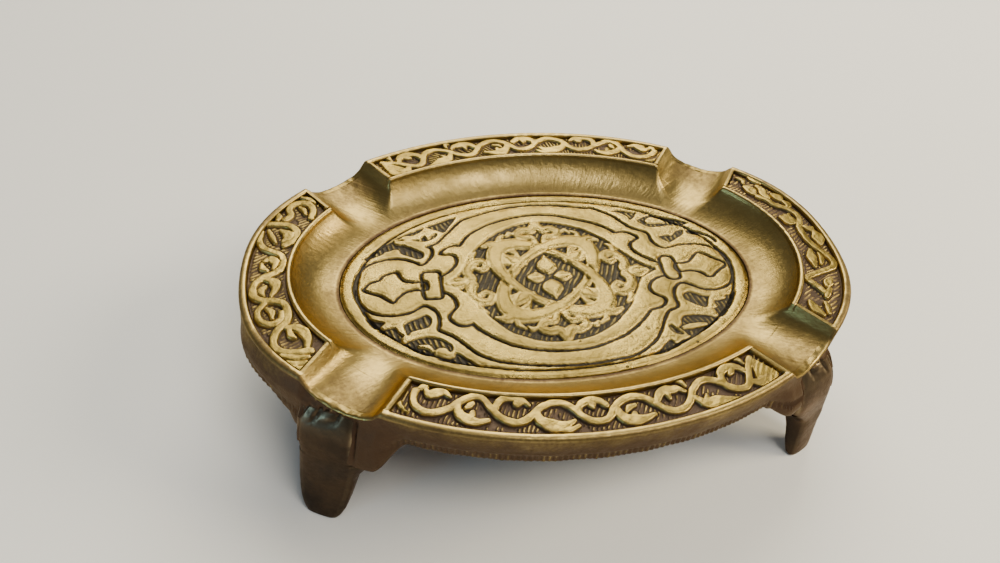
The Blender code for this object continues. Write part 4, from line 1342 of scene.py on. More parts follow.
SPADES: Tuple[Path, ...] = (
    ((-20.3, 0.7), (-22, 0.8), (-23.2, 1), (-24, 1.5), (-24.4, 2.4), (-24.7, 3.2), (-25.3, 3.4),
     (-26.3, 3.1), (-27.2, 2.6), (-27.6, 1.9), (-28.6, 1.5), (-29.3, 1.2), (-30, 0.4),
     (-30.3, -0.2), (-29.6, -0.8), (-28.6, -1.3), (-27.6, -1.8), (-26.8, -2.6), (-25.8, -3.4),
     (-25.2, -2.7), (-24.4, -1.8), (-23.4, -1.2), (-22.2, -1), (-20.3, -1)),
    ((22, 0.9), (23.5, 1), (24.6, 1.3), (25.4, 2), (26.1, 2.8), (27, 3.3), (27.9, 2.8), (28.7, 2),
     (29.5, 1.3), (30.2, 0.8), (30.8, 0), (30.2, -0.7), (29.4, -1.2), (28.4, -1.9), (27.4, -2.7),
     (26.5, -2.6), (26.1, -2), (25.4, -1.4), (24.2, -1), (22, -0.9)),
)
TIES: Tuple[Path, ...] = (
    ((-20.8, 2.7), (-19.3, 3), (-17.9, 2.6), (-17.9, 0), (-18, -2.9), (-19.4, -3.2), (-20.8, -2.9),
     (-20.9, 0)),
    ((19.6, 2.3), (20.3, 3), (21.3, 2.9), (22, 2.2), (22.1, 0), (22, -2.1), (21.3, -2.7),
     (20.3, -2.7), (19.5, -2), (19.4, 0)),
)
POCKETS: Tuple[Path, ...] = (
    ((-13.6, 16.4), (-15.4, 16), (-17, 15.3), (-18.6, 14.7), (-19.2, 14.2), (-18.6, 13.7),
     (-17.6, 13.2), (-16.6, 12.6), (-15.9, 12.6), (-15.2, 13.6), (-14.3, 14.9)),
    ((-19.6, 14.1), (-21.5, 13.3), (-23.5, 12.4), (-25, 11.5), (-23.8, 11.4), (-22.9, 12.1),
     (-21.6, 12.1), (-20.7, 12.5), (-19.8, 13.2)),
    ((-23.6, 11.5), (-22.6, 11), (-21, 11.2), (-20.3, 11), (-20.1, 11.8), (-19.6, 12),
     (-19.1, 11.3), (-18.7, 11.4), (-18.1, 12.3), (-17.4, 12.2), (-17.4, 11.6), (-18.4, 10.8),
     (-19.6, 10.3), (-21.2, 10.6), (-22.8, 10.9), (-24.6, 10.9)),
    ((-24.9, 11.3), (-26.5, 10.4), (-28, 9.2), (-29.4, 7.9), (-30.4, 6.8), (-29.2, 6.9),
     (-27.8, 7.3), (-26.9, 7.8), (-26.3, 8.3), (-25.5, 8.5), (-24.8, 8.8), (-24.2, 8.6),
     (-23.8, 7.6), (-22.6, 6.9), (-21.3, 6.2), (-20.5, 6.1), (-20, 6.8), (-20.2, 7.8), (-21, 8.5),
     (-22, 9.2), (-23.2, 10), (-24.6, 10.4)),
    ((14.4, 15.7), (16, 15.9), (18, 15.3), (19.4, 14.9), (19, 14.2), (18.3, 13.3), (17.4, 12.8),
     (17.2, 13.8), (16, 15), (15, 15.3)),
    ((18.6, 12.7), (19.6, 13.4), (20.4, 13.8), (21.4, 14.1), (23, 13.6), (25, 12.7), (27, 11.7),
     (28.2, 10.9), (27, 10.6), (25.6, 10.5), (24, 10.6), (22, 10.4), (20.4, 10.6), (19.4, 11.4)),
    ((21.3, 8.2), (22.5, 8.4), (23.8, 8.3), (24.8, 9.3), (26.2, 9.5), (26.4, 8.9), (25.7, 7.8),
     (24.6, 7.2), (23.7, 6.6), (22.8, 6.2), (22, 6.9), (21.4, 7.5)),
    ((26.8, 9.4), (28.5, 9), (30, 8), (31.2, 6.8), (31.6, 5.9), (31.1, 5.2), (30.6, 6.2),
     (29.8, 7.2), (28.4, 7.7), (27, 8)),
    ((-30.2, -6.2), (-29.4, -6.4), (-28.4, -6.9), (-27.3, -7.4), (-27.4, -7.9), (-28, -8.4),
     (-28.2, -8.9), (-29, -8.6), (-29.8, -7.4)),
    ((-28.6, -9.1), (-27.6, -8.7), (-26.4, -8.5), (-25.5, -8.8), (-25.2, -9.6), (-24.5, -10.4),
     (-24.9, -11), (-24.7, -11.8), (-26, -11), (-27.4, -10)),
    ((-24.5, -8.1), (-23.4, -7.4), (-22, -6.8), (-21.1, -6.4), (-20.4, -6.8), (-20.1, -7.7),
     (-20.4, -8.7), (-21.2, -9.4), (-22.4, -9.6), (-23.4, -9.9), (-24, -10.6), (-24.4, -9.6)),
    ((-24.8, -11.8), (-23.6, -11.3), (-22, -10.9), (-20.4, -11), (-19.2, -11.5), (-18.2, -12.3),
     (-17.5, -13.2), (-17.6, -14.2), (-18.2, -14.4), (-18.6, -13.7), (-19.4, -13.5), (-20.2, -13.8),
     (-20.4, -14.8), (-21.4, -14.8), (-22.8, -14.2), (-23.9, -13.2), (-24.6, -12.4)),
    ((-17.4, -14.5), (-16.6, -14.9), (-15.6, -15.9), (-14.4, -17), (-13.7, -17.7), (-15, -17.5),
     (-17, -16.9), (-19, -16.2), (-20.4, -15.4), (-19, -15.4), (-17.6, -15.3)),
    ((21, -6.1), (22, -5.6), (23, -6), (24.2, -6.8), (25.6, -7), (25, -7.6), (24.6, -8.6),
     (24, -9.6), (23, -9.3), (21.6, -8.4), (20.8, -7.2)),
    ((25.4, -8.2), (26.6, -8), (27.6, -7.9), (27.9, -7), (29, -6.9), (30.2, -6), (30, -7),
     (28.8, -8.8), (27.2, -10.6), (25.8, -11.9), (25.2, -11.4), (25, -10.4), (24.6, -9.8),
     (25.6, -9.4)),
    ((18.4, -12.6), (18.8, -11.4), (19.8, -10.7), (21.4, -10.7), (23, -11), (24.6, -11.5),
     (25, -12), (24, -13), (22.4, -14), (20.6, -14.8), (19, -15.2), (18.4, -14.2), (17.6, -13.2)),
    ((15.2, -15.7), (15.8, -15.5), (16.6, -16.3), (17.6, -15.6), (18.2, -15.6), (19, -15.8),
     (17.6, -16.6), (15.8, -17.5), (14, -18.2), (12, -18.4), (13, -17.6), (14.4, -16.4)),
    ((16.3, -12.6), (16.9, -12.4), (17.4, -13.2), (18.2, -14.2), (18.4, -14.9), (17.6, -14.8),
     (16.8, -14.3), (16.4, -13.6)),
)
ISLANDS: Tuple[Stroke, ...] = (
    (0.35, 0.75, 0.25, ((20.6, 12.2), (21.6, 12.4), (23.4, 11.8))),
    (0.2, 0.42, 0.2, ((18.7, -13.4), (20, -13.2), (22.4, -13))),
    (0.15, 0.3, 0.15, ((-22.4, -12.7), (-21.2, -13), (-20.6, -13.8))),
)
KNOT_LEAVES: Tuple[Stroke, ...] = (
    (0.25, 1.15, 0.1, ((0.0, 1.0), (0.5, 2.5), (0.0, 4.9))),
    (0.2, 0.62, 0.3, ((1.0, 0.0), (2.2, 0.5), (3.4, 0.1))),
    (0.3, 1.1, 0.12, ((3.4, 3.5), (5.2, 4.3), (7.4, 6.3))),
    (0.12, 0.55, 0.1, ((4.2, 5.3), (5.0, 6.4), (6.6, 6.9))),
    (0.12, 0.5, 0.1, ((5.6, 3.3), (6.9, 4.2), (7.4, 5.4))),
    (0.95, 0.75, 0.2, ((7.3, 8.2), (8.6, 8.7), (10.2, 8.2))),
    (0.4, 0.45, 0.12, ((7.0, 8.9), (7.0, 10.0), (6.0, 10.9))),
    (0.4, 0.62, 0.85, ((0.6, 8.6), (1.3, 9.9), (2.9, 10.0), (3.7, 11.0), (2.4, 11.9), (1.0, 11.8),
     (0.0, 13.2))),
    (0.12, 0.42, 0.12, ((4.2, 10.9), (5.0, 11.2), (5.6, 10.6))),
    (0.85, 0.72, 0.42, ((12.9, 0.7), (13.4, 2.0), (13.0, 3.4), (12.0, 4.5), (10.7, 4.6),
     (10.1, 3.5), (10.9, 2.6), (11.8, 3.0))),
    (0.3, 0.6, 0.1, ((12.3, 4.8), (12.4, 5.9), (11.3, 7.0))),
    (0.3, 0.75, 0.1, ((13.9, 0.2), (15.2, 0.6), (17.0, 0.1))),
)


@dataclass
class Medallion:
    """The oval plaque on the floor: border bead, straps, hatched pockets and a middle knot."""

    finish: BrassFinish
    half_length: float = 34.3
    half_width: float = 21.4
    top: float = 19.1
    highest: float = 19.28
    bottom: float = 17.65
    border: float = 2.0
    groove_depth: float = 0.46
    pocket_depth: float = 0.50
    columns: int = 396
    rows: int = 246
    knot_long: float = 10.6
    knot_short: float = 5.66
    knot_band: float = 1.12
    knot_cross: float = 7.06

    def _plan(self) -> Pair:
        """Places of the grid on the oval, in millimetres."""
        u, v = np.meshgrid(np.linspace(-1.0, 1.0, self.columns + 1),
                           np.linspace(-1.0, 1.0, self.rows + 1))
        return (u * np.sqrt(1.0 - v * v / 2.0) * self.half_length,
                v * np.sqrt(1.0 - u * u / 2.0) * self.half_width)

    def _knot(self, plan: Plan) -> Array:
        """Signed distance to the knot, whose two strands pass over and under each other.

        Args:
            plan: Places, in units of the drawn ornaments.

        Returns:
            Signed distances to its strands and leaves.
        """
        turns = np.linspace(0.0, 2.0 * math.pi, 72, endpoint=False)
        px, py = self.knot_long / UNIT * np.cos(turns), self.knot_short / UNIT * np.sin(turns)
        swell = self.knot_band * (1.0 + 0.35 * np.cos(2.0 * turns))
        strands = []
        for degrees in (45.0, -45.0):
            cosine, sine = math.cos(math.radians(degrees)), math.sin(math.radians(degrees))
            path = np.column_stack([px * cosine - py * sine, px * sine + py * cosine])
            strands.append(plan.to_line(path, closed=True, radii=swell))
        cross = self.knot_cross / UNIT
        upright = np.exp(-((plan.x ** 2 + (np.abs(plan.y) - cross) ** 2) / 2.2))
        level = np.exp(-(((np.abs(plan.x) - cross) ** 2 + plan.y ** 2) / 2.2))
        over = np.where(upright > level, strands[0], strands[1])
        under = np.where(upright > level, strands[1], strands[0])
        near = np.maximum(upright, level) > 0.25
        gap = np.where(near & (over > 0.0), np.maximum(under, 0.34 - over), under)
        leaves = Plan(np.abs(plan.x), np.abs(plan.y)).strokes(KNOT_LEAVES)
        return np.minimum(np.minimum(over, gap), leaves)

    def _grooves(self, plan: Plan, from_edge: Array, fine: Array) -> Array:
        """Distance to the grooves that draw the border, the straps, the spades and the ties.

        Args:
            plan: Places, in units of the drawn ornaments.
            from_edge: Distance from the plaque's edge.
            fine: Unevenness of the hand that cut them.

        Returns:
            Distances.
        """
        lines = [plan.to_line(flowing(STRAP_OUTER, closed=True), closed=True)]
        lines += [plan.to_line(flowing(path)) for path in STRAP_INNER]
        lines += [plan.to_line(flowing(path, closed=True, steps=3), closed=True)
                  for path in SPADES + TIES]
        groove = np.minimum.reduce(lines) + 0.05 * fine
        ring_line = np.abs(from_edge - self.border) / UNIT
        return np.minimum(groove, ring_line + 0.06 + 0.05 * fine)

    def build(self) -> Piece:
        """Model the plaque.

        Returns:
            The finished plaque.
        """
        x, y = self._plan()
        plan = Plan(x / UNIT, y / UNIT)
        level = np.zeros(x.shape)
        uneven = Unevenness(11).over(x, y, level, 2.6)
        fine = Unevenness(12).over(x, y, level, 0.7)
        edge_share = np.hypot(x / self.half_length, y / self.half_width)
        from_edge = (1.0 - edge_share) * self.half_width * 1.25
        groove = self._grooves(plan, from_edge, fine)
        cut = 1.0 - ease(groove, 0.08, 0.36)
        burr = np.exp(-((groove - 0.50) / 0.14) ** 2)
        slope = 1.0 - ease(groove, 0.30, 1.10)
        pocket = plan.areas(POCKETS)
        field_area = plan.to_area(FIELD_EDGE)
        knot = self._knot(plan)
        kept = np.minimum(knot, plan.strokes(ISLANDS))
        ground = np.maximum(np.minimum(pocket, field_area + 0.15), -kept) + 0.05 * fine
        sunk = 1.0 - ease(ground, -0.34, 0.02)
        rim = np.exp(-((ground - 0.16) / 0.16) ** 2)
        hatch = np.where(field_area < 0.2, plan.hatching(62.0, 0.86, 21),
                         plan.hatching(105.0, 0.8, 27))
        raised_hatch = hatch * ease(-ground, 0.25, 0.5)
        z = np.full(x.shape, self.top)
        z -= self.groove_depth * cut * (1.0 + 0.25 * uneven) + 0.10 * slope
        z += 0.02 * burr
        z -= sunk * (self.pocket_depth * (1.0 + 0.15 * uneven) - 0.20 * raised_hatch)
        z -= 0.07 * (1.0 - ease(ground, 0.1, 0.8)) * (1.0 - sunk)
        z += 0.018 * uneven + 0.010 * fine
        bead = ease(from_edge, 0.0, 0.7) * (1.0 - ease(from_edge, 1.2, 1.9))
        z += 0.06 * bead - 0.22 * (1.0 - ease(from_edge, 0.0, 0.45))
        in_field = (field_area < 0.0) & (knot < 0.0)
        z += np.where(in_field, 0.10 * ease(-knot, 0.0, 0.6), 0.0)
        z = np.clip(z, None, self.highest)
        patina_and_shade = np.clip(1.15 * cut + sunk * (1.0 - 0.58 * raised_hatch), 0.0, 1.15)
        wear_and_glint = np.clip(0.30 * burr * (1.0 - cut) + 0.35 * rim * (1.0 - sunk), 0.0, 1.0)
        lower = ease(-plan.y, 9.0, 15.0) * ease(plan.x, -6.0, 3.0)
        pitted = lower * (1.0 - sunk)
        piece = relief_plate("medallion_plate", np.stack([x, y, z], axis=-1),
                             {"patina_and_shade": patina_and_shade, "wear_and_glint": wear_and_glint, "pitted": pitted}, self.bottom)
        return seat(piece, self.finish, "floor_medallion")


def relief_plate(name: str, places: Array, values: Dict[str, Array], bottom: float) -> Piece:
    """Make a closed plate from its chased upper face.

    Args:
        name: Name of the piece.
        places: Grid of places in millimetres, rows by columns by three.
        values: Numbers to store on the grid, by name.
        bottom: Height of the underside.

    Returns:
        The closed plate.
    """
    wide = np.pad(places, ((1, 1), (1, 1), (0, 0)), mode="edge")
    wide[0, :, 2] = wide[-1, :, 2] = bottom
    wide[:, 0, 2] = wide[:, -1, 2] = bottom
    piece = sheet_of(name, wide * MM)
    for label, grid in values.items():
        keep_value(piece, label, np.pad(grid, 1, mode="edge"))
    close_up(piece, 60.0, fill=True)
    return piece


# ---------------------------------------------------------------- the vine strips

FRONT_STEM: Stroke = (0.54, 0.54, 0.54, (
    (-23.9, -24.3), (-24.3, -25.5), (-24.2, -26.6), (-23.4, -27.6), (-22.2, -28.1), (-20.8, -28),
    (-19.6, -27.6), (-18.6, -27), (-17.4, -26.4), (-16.2, -26.2), (-15.3, -26.6), (-14.7, -27.6),
    (-14.2, -28.6), (-13.6, -29.6), (-12.6, -30.5), (-11.4, -31), (-10.3, -30.8), (-9.3, -30.2),
    (-8.4, -29.4), (-7.4, -28.8), (-6.2, -28.5), (-5, -28.6), (-4, -29.2), (-3.3, -30),
    (-2.8, -30.8), (-2, -31.6), (-0.8, -32), (0.4, -31.9), (1.2, -31.2), (1.9, -30.2), (2.8, -29.4),
    (3.8, -28.9), (5, -28.7), (6.1, -29), (7.1, -29.6), (7.9, -30.4), (8.7, -31.1), (9.7, -31.6),
    (10.7, -31.6), (11.7, -31.1), (12.5, -30.3), (13.1, -29.2), (13.8, -28.2), (14.7, -27.4),
    (15.8, -27.1), (16.9, -27.3), (17.9, -27.9), (18.9, -28.7), (19.8, -29.1), (20.9, -29.1),
    (21.7, -28.5), (22.2, -27.4), (22.6, -26.2), (23.2, -24.9), (23.6, -24.2)))
FRONT_LEAVES: Tuple[Stroke, ...] = (
    (0.18, 0.62, 0.14, ((-22.6, -24.2), (-22.2, -25.2), (-21.2, -25.0), (-20.2, -25.1),
     (-19.5, -25.9))),
    (0.14, 0.34, 0.14, ((-23.6, -24.1), (-22.8, -23.9), (-22.4, -23.9))),
    (0.36, 0.66, 0.16, ((-18.7, -27.2), (-18.7, -28.3), (-18.2, -29.3), (-17.2, -30.0),
     (-16.2, -30.3), (-15.0, -30.2))),
    (0.12, 0.3, 0.12, ((-17.6, -27.9), (-17.1, -27.6), (-16.6, -27.3))),
    (0.12, 0.3, 0.12, ((-17.0, -29.6), (-16.9, -28.9), (-16.7, -28.6))),
    (0.34, 0.42, 0.55, ((-13.9, -28.5), (-13.3, -27.5), (-12, -27.0), (-10.8, -27.2),
     (-10.3, -27.7))),
    (0.45, 0.4, 0.1, ((-10.9, -28.1), (-10, -27.8), (-9.3, -28.5))),
    (0.35, 0.85, 0.1, ((-8.5, -29.6), (-8.4, -30.8), (-7.6, -31.6), (-6.2, -32.2), (-5, -32.1),
     (-3.8, -31.6))),
    (0.1, 0.28, 0.1, ((-5.9, -32.8), (-4.6, -32.9), (-3.4, -32.4))),
    (0.34, 0.44, 0.34, ((-3, -30.2), (-2.7, -29.4), (-2, -28.9), (-0.9, -28.6), (0.2, -28.9),
     (0.9, -29.6))),
    (0.34, 0.4, 0.08, ((-1.2, -28.8), (-1.0, -29.3), (-0.9, -29.9))),
    (0.36, 0.74, 0.12, ((2.2, -30.4), (2.5, -31.4), (3.3, -32.2), (4.6, -32.4), (5.8, -32.3),
     (7.1, -31.8))),
    (0.1, 0.26, 0.1, ((3.4, -31.0), (3.9, -30.4), (4.8, -30.1))),
    (0.3, 0.3, 0.1, ((4.3, -32.0), (4.4, -31.5), (4.5, -31.3))),
    (0.34, 0.6, 0.12, ((8.1, -29.6), (8.6, -28.7), (9.5, -28.2), (10.6, -28.2), (11.4, -28.1),
     (12.3, -28.7))),
    (0.1, 0.24, 0.1, ((11.2, -26.6), (12.2, -27.0), (12.7, -27.8))),
    (0.3, 0.28, 0.08, ((9.5, -28.4), (9.8, -29.0), (9.9, -29.6))),
    (0.3, 0.8, 0.1, ((13.5, -30.0), (14.6, -30.9), (16.4, -30.8), (18.0, -30.8), (19.6, -30.7))),
    (0.3, 0.3, 0.08, ((15.2, -30.8), (15.0, -30.2), (15.1, -29.6))),
    (0.36, 0.5, 0.3, ((18.3, -27.9), (18.2, -26.6), (18.9, -25.7), (20, -25.3), (21.1, -25.5),
     (21.9, -26.1))),
    (0.3, 0.34, 0.08, ((20.2, -25.7), (20.0, -26.2), (19.6, -26.6))),
    (0.3, 0.55, 0.1, ((22.6, -28.2), (23.6, -28.4), (24.9, -27.4))),
    (0.1, 0.22, 0.1, ((21.2, -23.9), (21.9, -24.2), (22.3, -24.9))),
)
FRONT_PLAIN: Tuple[Path, ...] = (
    ((23.5, -24.6), (24.2, -24.2), (25.6, -25.6), (26.9, -27.2), (25.6, -28.4), (24.4, -28.9),
     (23.2, -28.2)),
    ((-26.6, -26.3), (-25.9, -25.6), (-25.6, -26.6), (-25, -27.8), (-25.9, -27.4)),
)
LEFT_STROKES: Tuple[Stroke, ...] = (
    (0.42, 0.46, 0.42, ((-44.9, 11.9), (-43.2, 11.7), (-41.6, 11.3), (-40.5, 10.2), (-40.1, 8.8),
     (-40.7, 7.3), (-42, 6.5))),
    (0.36, 0.46, 0.4, ((-45.7, 9.8), (-45.9, 7.9), (-45.2, 6.1), (-43.8, 5.1), (-42.5, 4.2),
     (-42, 2.8), (-42.3, 1.2), (-43.4, 0.1), (-44.8, -0.6), (-45.9, -1.8), (-46.2, -3.4),
     (-45.8, -4.8), (-44.6, -5.5), (-43.2, -5.7), (-41.8, -6.3), (-41.1, -7.6), (-40.9, -9.2),
     (-41.3, -10.4), (-42.2, -11.4), (-42.7, -13), (-42.5, -14.6), (-41.4, -15.6), (-39.8, -15.9),
     (-37.6, -15.8))),
    (0.4, 0.46, 0.36, ((-38.0, 12.9), (-37.7, 14.6), (-38.2, 16.2), (-39.5, 16.9), (-40.9, 16.5),
     (-41.6, 15.3), (-41.2, 13.8), (-42.2, 12.7))),
    (0.3, 0.36, 0.3, ((-44.4, -6.2), (-45.2, -7.5), (-45.0, -9.1), (-44.1, -10.1), (-42.9, -10.3),
     (-41.9, -9.5), (-41.9, -8.2))),
    (0.16, 0.42, 0.16, ((-44.0, -7.2), (-43.2, -8.0), (-43.1, -9.1))),
    (0.34, 0.7, 0.3, ((-41, -11.1), (-39.6, -11.4), (-38.6, -12.3), (-38.1, -13.5),
     (-38.1, -14.9))),
    (0.3, 0.4, 0.1, ((-40.6, -11.9), (-40.4, -12.7), (-39.8, -13.2))),
    (0.2, 0.34, 0.2, ((-41.6, -16.4), (-39.8, -16.9), (-37.9, -16.9))),
    (0.2, 0.34, 0.2, ((-41.0, -17.5), (-39.6, -17.9), (-38.2, -17.9))),
    (0.2, 0.34, 0.2, ((-40.2, -18.5), (-39.4, -18.8), (-38.7, -18.8))),
    (0.2, 0.75, 0.12, ((-44.5, -1.1), (-43.3, -1.6), (-42.9, -2.8), (-43.5, -4.7))),
    (0.16, 0.44, 0.16, ((-44.4, -2.6), (-45.0, -3.4), (-44.6, -4.4))),
    (0.2, 0.62, 0.12, ((-44.9, 3.0), (-43.9, 3.4), (-43.2, 2.4), (-43.5, 1.2))),
    (0.16, 0.4, 0.16, ((-45.3, 2.4), (-45.0, 1.4), (-44.3, 0.8))),
    (0.2, 0.8, 0.14, ((-42.6, 9.9), (-41.7, 9.2), (-41.5, 8.2), (-42.3, 7.3))),
    (0.16, 0.34, 0.16, ((-44.6, 10.2), (-44.0, 8.6), (-43.4, 7.2))),
    (0.16, 0.34, 0.16, ((-39.9, 15.7), (-39.2, 14.9), (-39.0, 14.0))),
    (0.16, 0.4, 0.16, ((-43.6, 14.6), (-43.1, 13.6), (-43.4, 12.8))),
    (0.16, 0.34, 0.16, ((-39.7, 18.4), (-38.4, 17.8), (-37.5, 16.8))),
)
RIGHT_STROKES: Tuple[Stroke, ...] = (
    (0.34, 0.4, 0.36, ((40.3, 11.8), (41.6, 10.6), (42.4, 9.3), (43.6, 8.4), (44.8, 7.4),
     (45.3, 5.9), (45, 4.4), (44.2, 3), (44, 1), (44.2, -1), (45, -3), (45.8, -4.8), (45.9, -6.4),
     (45, -7.4), (43, -8), (41, -8.6), (39.8, -9.2), (40.2, -10.4), (40.8, -11.6), (41.2, -12.6))),
    (0.45, 0.85, 0.55, ((39.2, 14.6), (39.8, 13.6), (39.9, 12.9))),
    (0.3, 0.62, 0.4, ((41.3, 14.6), (41.9, 13.6), (41.6, 12.4), (42.0, 11.4))),
    (0.3, 0.8, 0.3, ((43.2, 12.0), (43.9, 11.2), (44.2, 10.4))),
    (0.25, 0.5, 0.2, ((44.5, 9.8), (44.9, 9.0), (44.5, 8.4))),
    (0.35, 1.05, 0.3, ((42.2, 5.7), (43.2, 4.9), (44.0, 4.4))),
    (0.15, 0.42, 0.15, ((43.8, 6.4), (43.4, 5.9), (42.9, 6.3))),
    (0.35, 1.0, 0.3, ((46.3, 1.3), (46.3, 0.0), (45.9, -1.6))),
    (0.2, 0.45, 0.2, ((45.2, 2.9), (45.9, 2.2), (46.4, 2.5))),
    (0.25, 0.72, 0.2, ((43.4, -2.9), (42.8, -4.6), (42.4, -6.8))),
    (0.12, 0.3, 0.12, ((44.4, -3.8), (44.3, -5.2), (43.7, -6.4))),
    (0.3, 0.62, 0.25, ((43.5, -9.9), (42.8, -10.6), (42.3, -11.2))),
    (0.2, 0.36, 0.2, ((42.4, -12.0), (41.6, -12.8), (41.0, -13.6))),
    (0.3, 0.66, 0.2, ((37.9, -14.3), (38.0, -15.8), (38.7, -17.2))),
    (0.15, 0.32, 0.15, ((40.2, -14.8), (40.0, -16.0), (39.7, -17.0))),
    (0.15, 0.34, 0.15, ((38.6, 17.4), (39.4, 16.6), (39.2, 15.8))),
    (0.15, 0.34, 0.15, ((40.8, 17.3), (41.4, 16.4), (42.2, 15.4))),
)


# How dark the dirt lies in the hollows of each strip
SOILING: Dict[Side, float] = {Side.FRONT: 1.0, Side.REAR: 0.74, Side.RIGHT: 0.78, Side.LEFT: 0.70}


@dataclass
class Strip:
    """One vine-scroll strip of the rim."""

    oval: Oval
    side: Side
    finish: BrassFinish
    outer_inset: float = 1.26
    inner_inset: float = 6.84
    field_end: float = 7.11
    ground: float = 23.22
    top: float = 23.9
    bottom: float = 22.4
    fuller: float = 0.17
    columns: int = 620
    rows: int = 72

    def _places(self, along: Array, across: Array) -> Pair:
        """Plan places from shares of the strip.

        Args:
            along: Shares along the strip.
            across: Shares across it, from 0 at the outer edge to 1 at the inner one.

        Returns:
            X and Y.
        """
        x, y = np.zeros(along.shape), np.zeros(along.shape)
        long_side = self.side in (Side.FRONT, Side.REAR)
        for row in range(along.shape[0]):
            inset = self.outer_inset + (self.inner_inset - self.outer_inset) * float(across[row, 0])
            half_x, half_y = self.oval.half_length - inset, self.oval.half_width - inset
            if long_side:
                end = self.oval.angle_at(half_x, half_y, -self.field_end)
                angle = end + (math.pi - 2 * end) * (1.0 - along[row])
                px, py = self.oval.point(np.array(inset), angle)
                x[row], y[row] = px, py if self.side is Side.REAR else -py
            else:
                end = self.oval.angle_at(half_x, half_y, self.field_end)
                angle = -end + 2 * end * along[row]
                px, py = self.oval.point(np.array(inset), angle)
                x[row], y[row] = (px if self.side is Side.RIGHT else -px), py
        return x, y

    def _ornament(self, along: Array, across: Array) -> Tuple[Array, Array, Plan]:
        """Vine of the strip. The rear strip has the front one's, turned about.

        Args:
            along: Shares along the strip.
            across: Shares across it.

        Returns:
            Signed distances to the vine and to its plain blocks, and the plan of the drawing.
        """
        if self.side is Side.REAR:
            twin = Strip(self.oval, Side.FRONT, self.finish)
            x, y = twin._places(1.0 - along, 1.0 - across)
        else:
            x, y = self._places(along, across)
        plan = Plan(x / UNIT, y / UNIT)
        if self.side in (Side.LEFT, Side.RIGHT):
            strokes = LEFT_STROKES if self.side is Side.LEFT else RIGHT_STROKES
            return plan.strokes(strokes) - self.fuller, np.full(x.shape, plan.reach), plan
        vine = np.minimum(plan.to_stroke(FRONT_STEM), plan.strokes(FRONT_LEAVES) - self.fuller)
        return vine, plan.areas(FRONT_PLAIN), plan

    def build(self) -> Piece:
        """Model the strip.

        Returns:
            The finished strip.
        """
        long_side = self.side in (Side.FRONT, Side.REAR)
        columns = self.columns if long_side else int(self.columns * 0.7)
        along, across = np.meshgrid(np.linspace(0.0, 1.0, columns + 1),
                                    np.linspace(0.0, 1.0, self.rows + 1))
        x, y = self._places(along, across)
        vine, plain, plan = self._ornament(along, across)
        level = np.zeros(x.shape)
        fine = Unevenness(31).over(x, y, level, 0.6)
        uneven = Unevenness(32).over(x, y, level, 2.1)
        shape = vine + 0.06 * fine
        raised = 1.0 - ease(shape, -0.10, 0.17)
        block = 1.0 - ease(plain, -0.2, 0.15)
        height = self.top - self.ground
        hatch = plan.hatching(62.0 if long_side else 25.0, 0.62, 41)
        hatch *= ease(uneven + 0.6 * fine, -0.75, -0.1)
        open_ground = ease(shape, 0.16, 0.34)
        dents = Unevenness(33).over(x, y, level, 0.9)
        edge = np.minimum(across, 1.0 - across) * (self.inner_inset - self.outer_inset)
        clear = ease(edge, 0.15, 0.5)
        swelling = 0.90 * raised + 0.07 * ease(-shape, -0.05, 0.4)
        z = self.ground + height * swelling * (0.90 + 0.06 * uneven + 0.06 * dents)
        z = np.maximum(z, self.ground + height * (0.74 + 0.07 * hatch + 0.05 * dents) * block)
        z += 0.25 * hatch * open_ground * (1.0 - block) * clear + 0.02 * fine
        z = np.clip(z, None, self.top)
        lifted = np.maximum(raised, (0.72 + 0.25 * hatch) * block)
        patina_and_shade = 1.15 * (1.0 - lifted) * (1.0 - 0.62 * hatch * open_ground * clear)
        patina_and_shade = np.clip(patina_and_shade, 0.0, 1.15) + raised * (0.12 + 0.26 * ease(-dents, 0.0, 0.8))
        patina_and_shade = np.clip(patina_and_shade, 0.0, 1.15) * SOILING[self.side]
        wear_and_glint = np.clip(0.55 * np.exp(-((shape + 0.06) / 0.10) ** 2) * ease(dents, -0.6, 0.6)
                       + 0.30 * hatch * open_ground * (1.0 - block), 0.0, 1.0)
        name = self.side.value
        piece = relief_plate("vine_strip_" + name, np.stack([x, y, z], axis=-1),
                             {"patina_and_shade": patina_and_shade, "wear_and_glint": wear_and_glint, "pitted": level}, self.bottom)
        return seat(piece, self.finish, "frieze_" + name)


# ---------------------------------------------------------------- the legs

@dataclass(frozen=True)
class LegShape:
    """How a leg runs down from its knee: each foot was cast and bent a little differently."""

    toe_reach: float = 4.6
    toe_drift: float = 1.0
    flare: float = 0.8
    slim: float = 0.0
    widen: float = 0.0


LEG_SHAPES: Dict[Corner, LegShape] = {
    Corner.FRONT_LEFT: LegShape(5.2, 0.9, flare=1.5, widen=0.33),
    Corner.FRONT_RIGHT: LegShape(4.0, 1.7, flare=0.0, slim=5.3),
    Corner.REAR_LEFT: LegShape(),
    Corner.REAR_RIGHT: LegShape(),
}


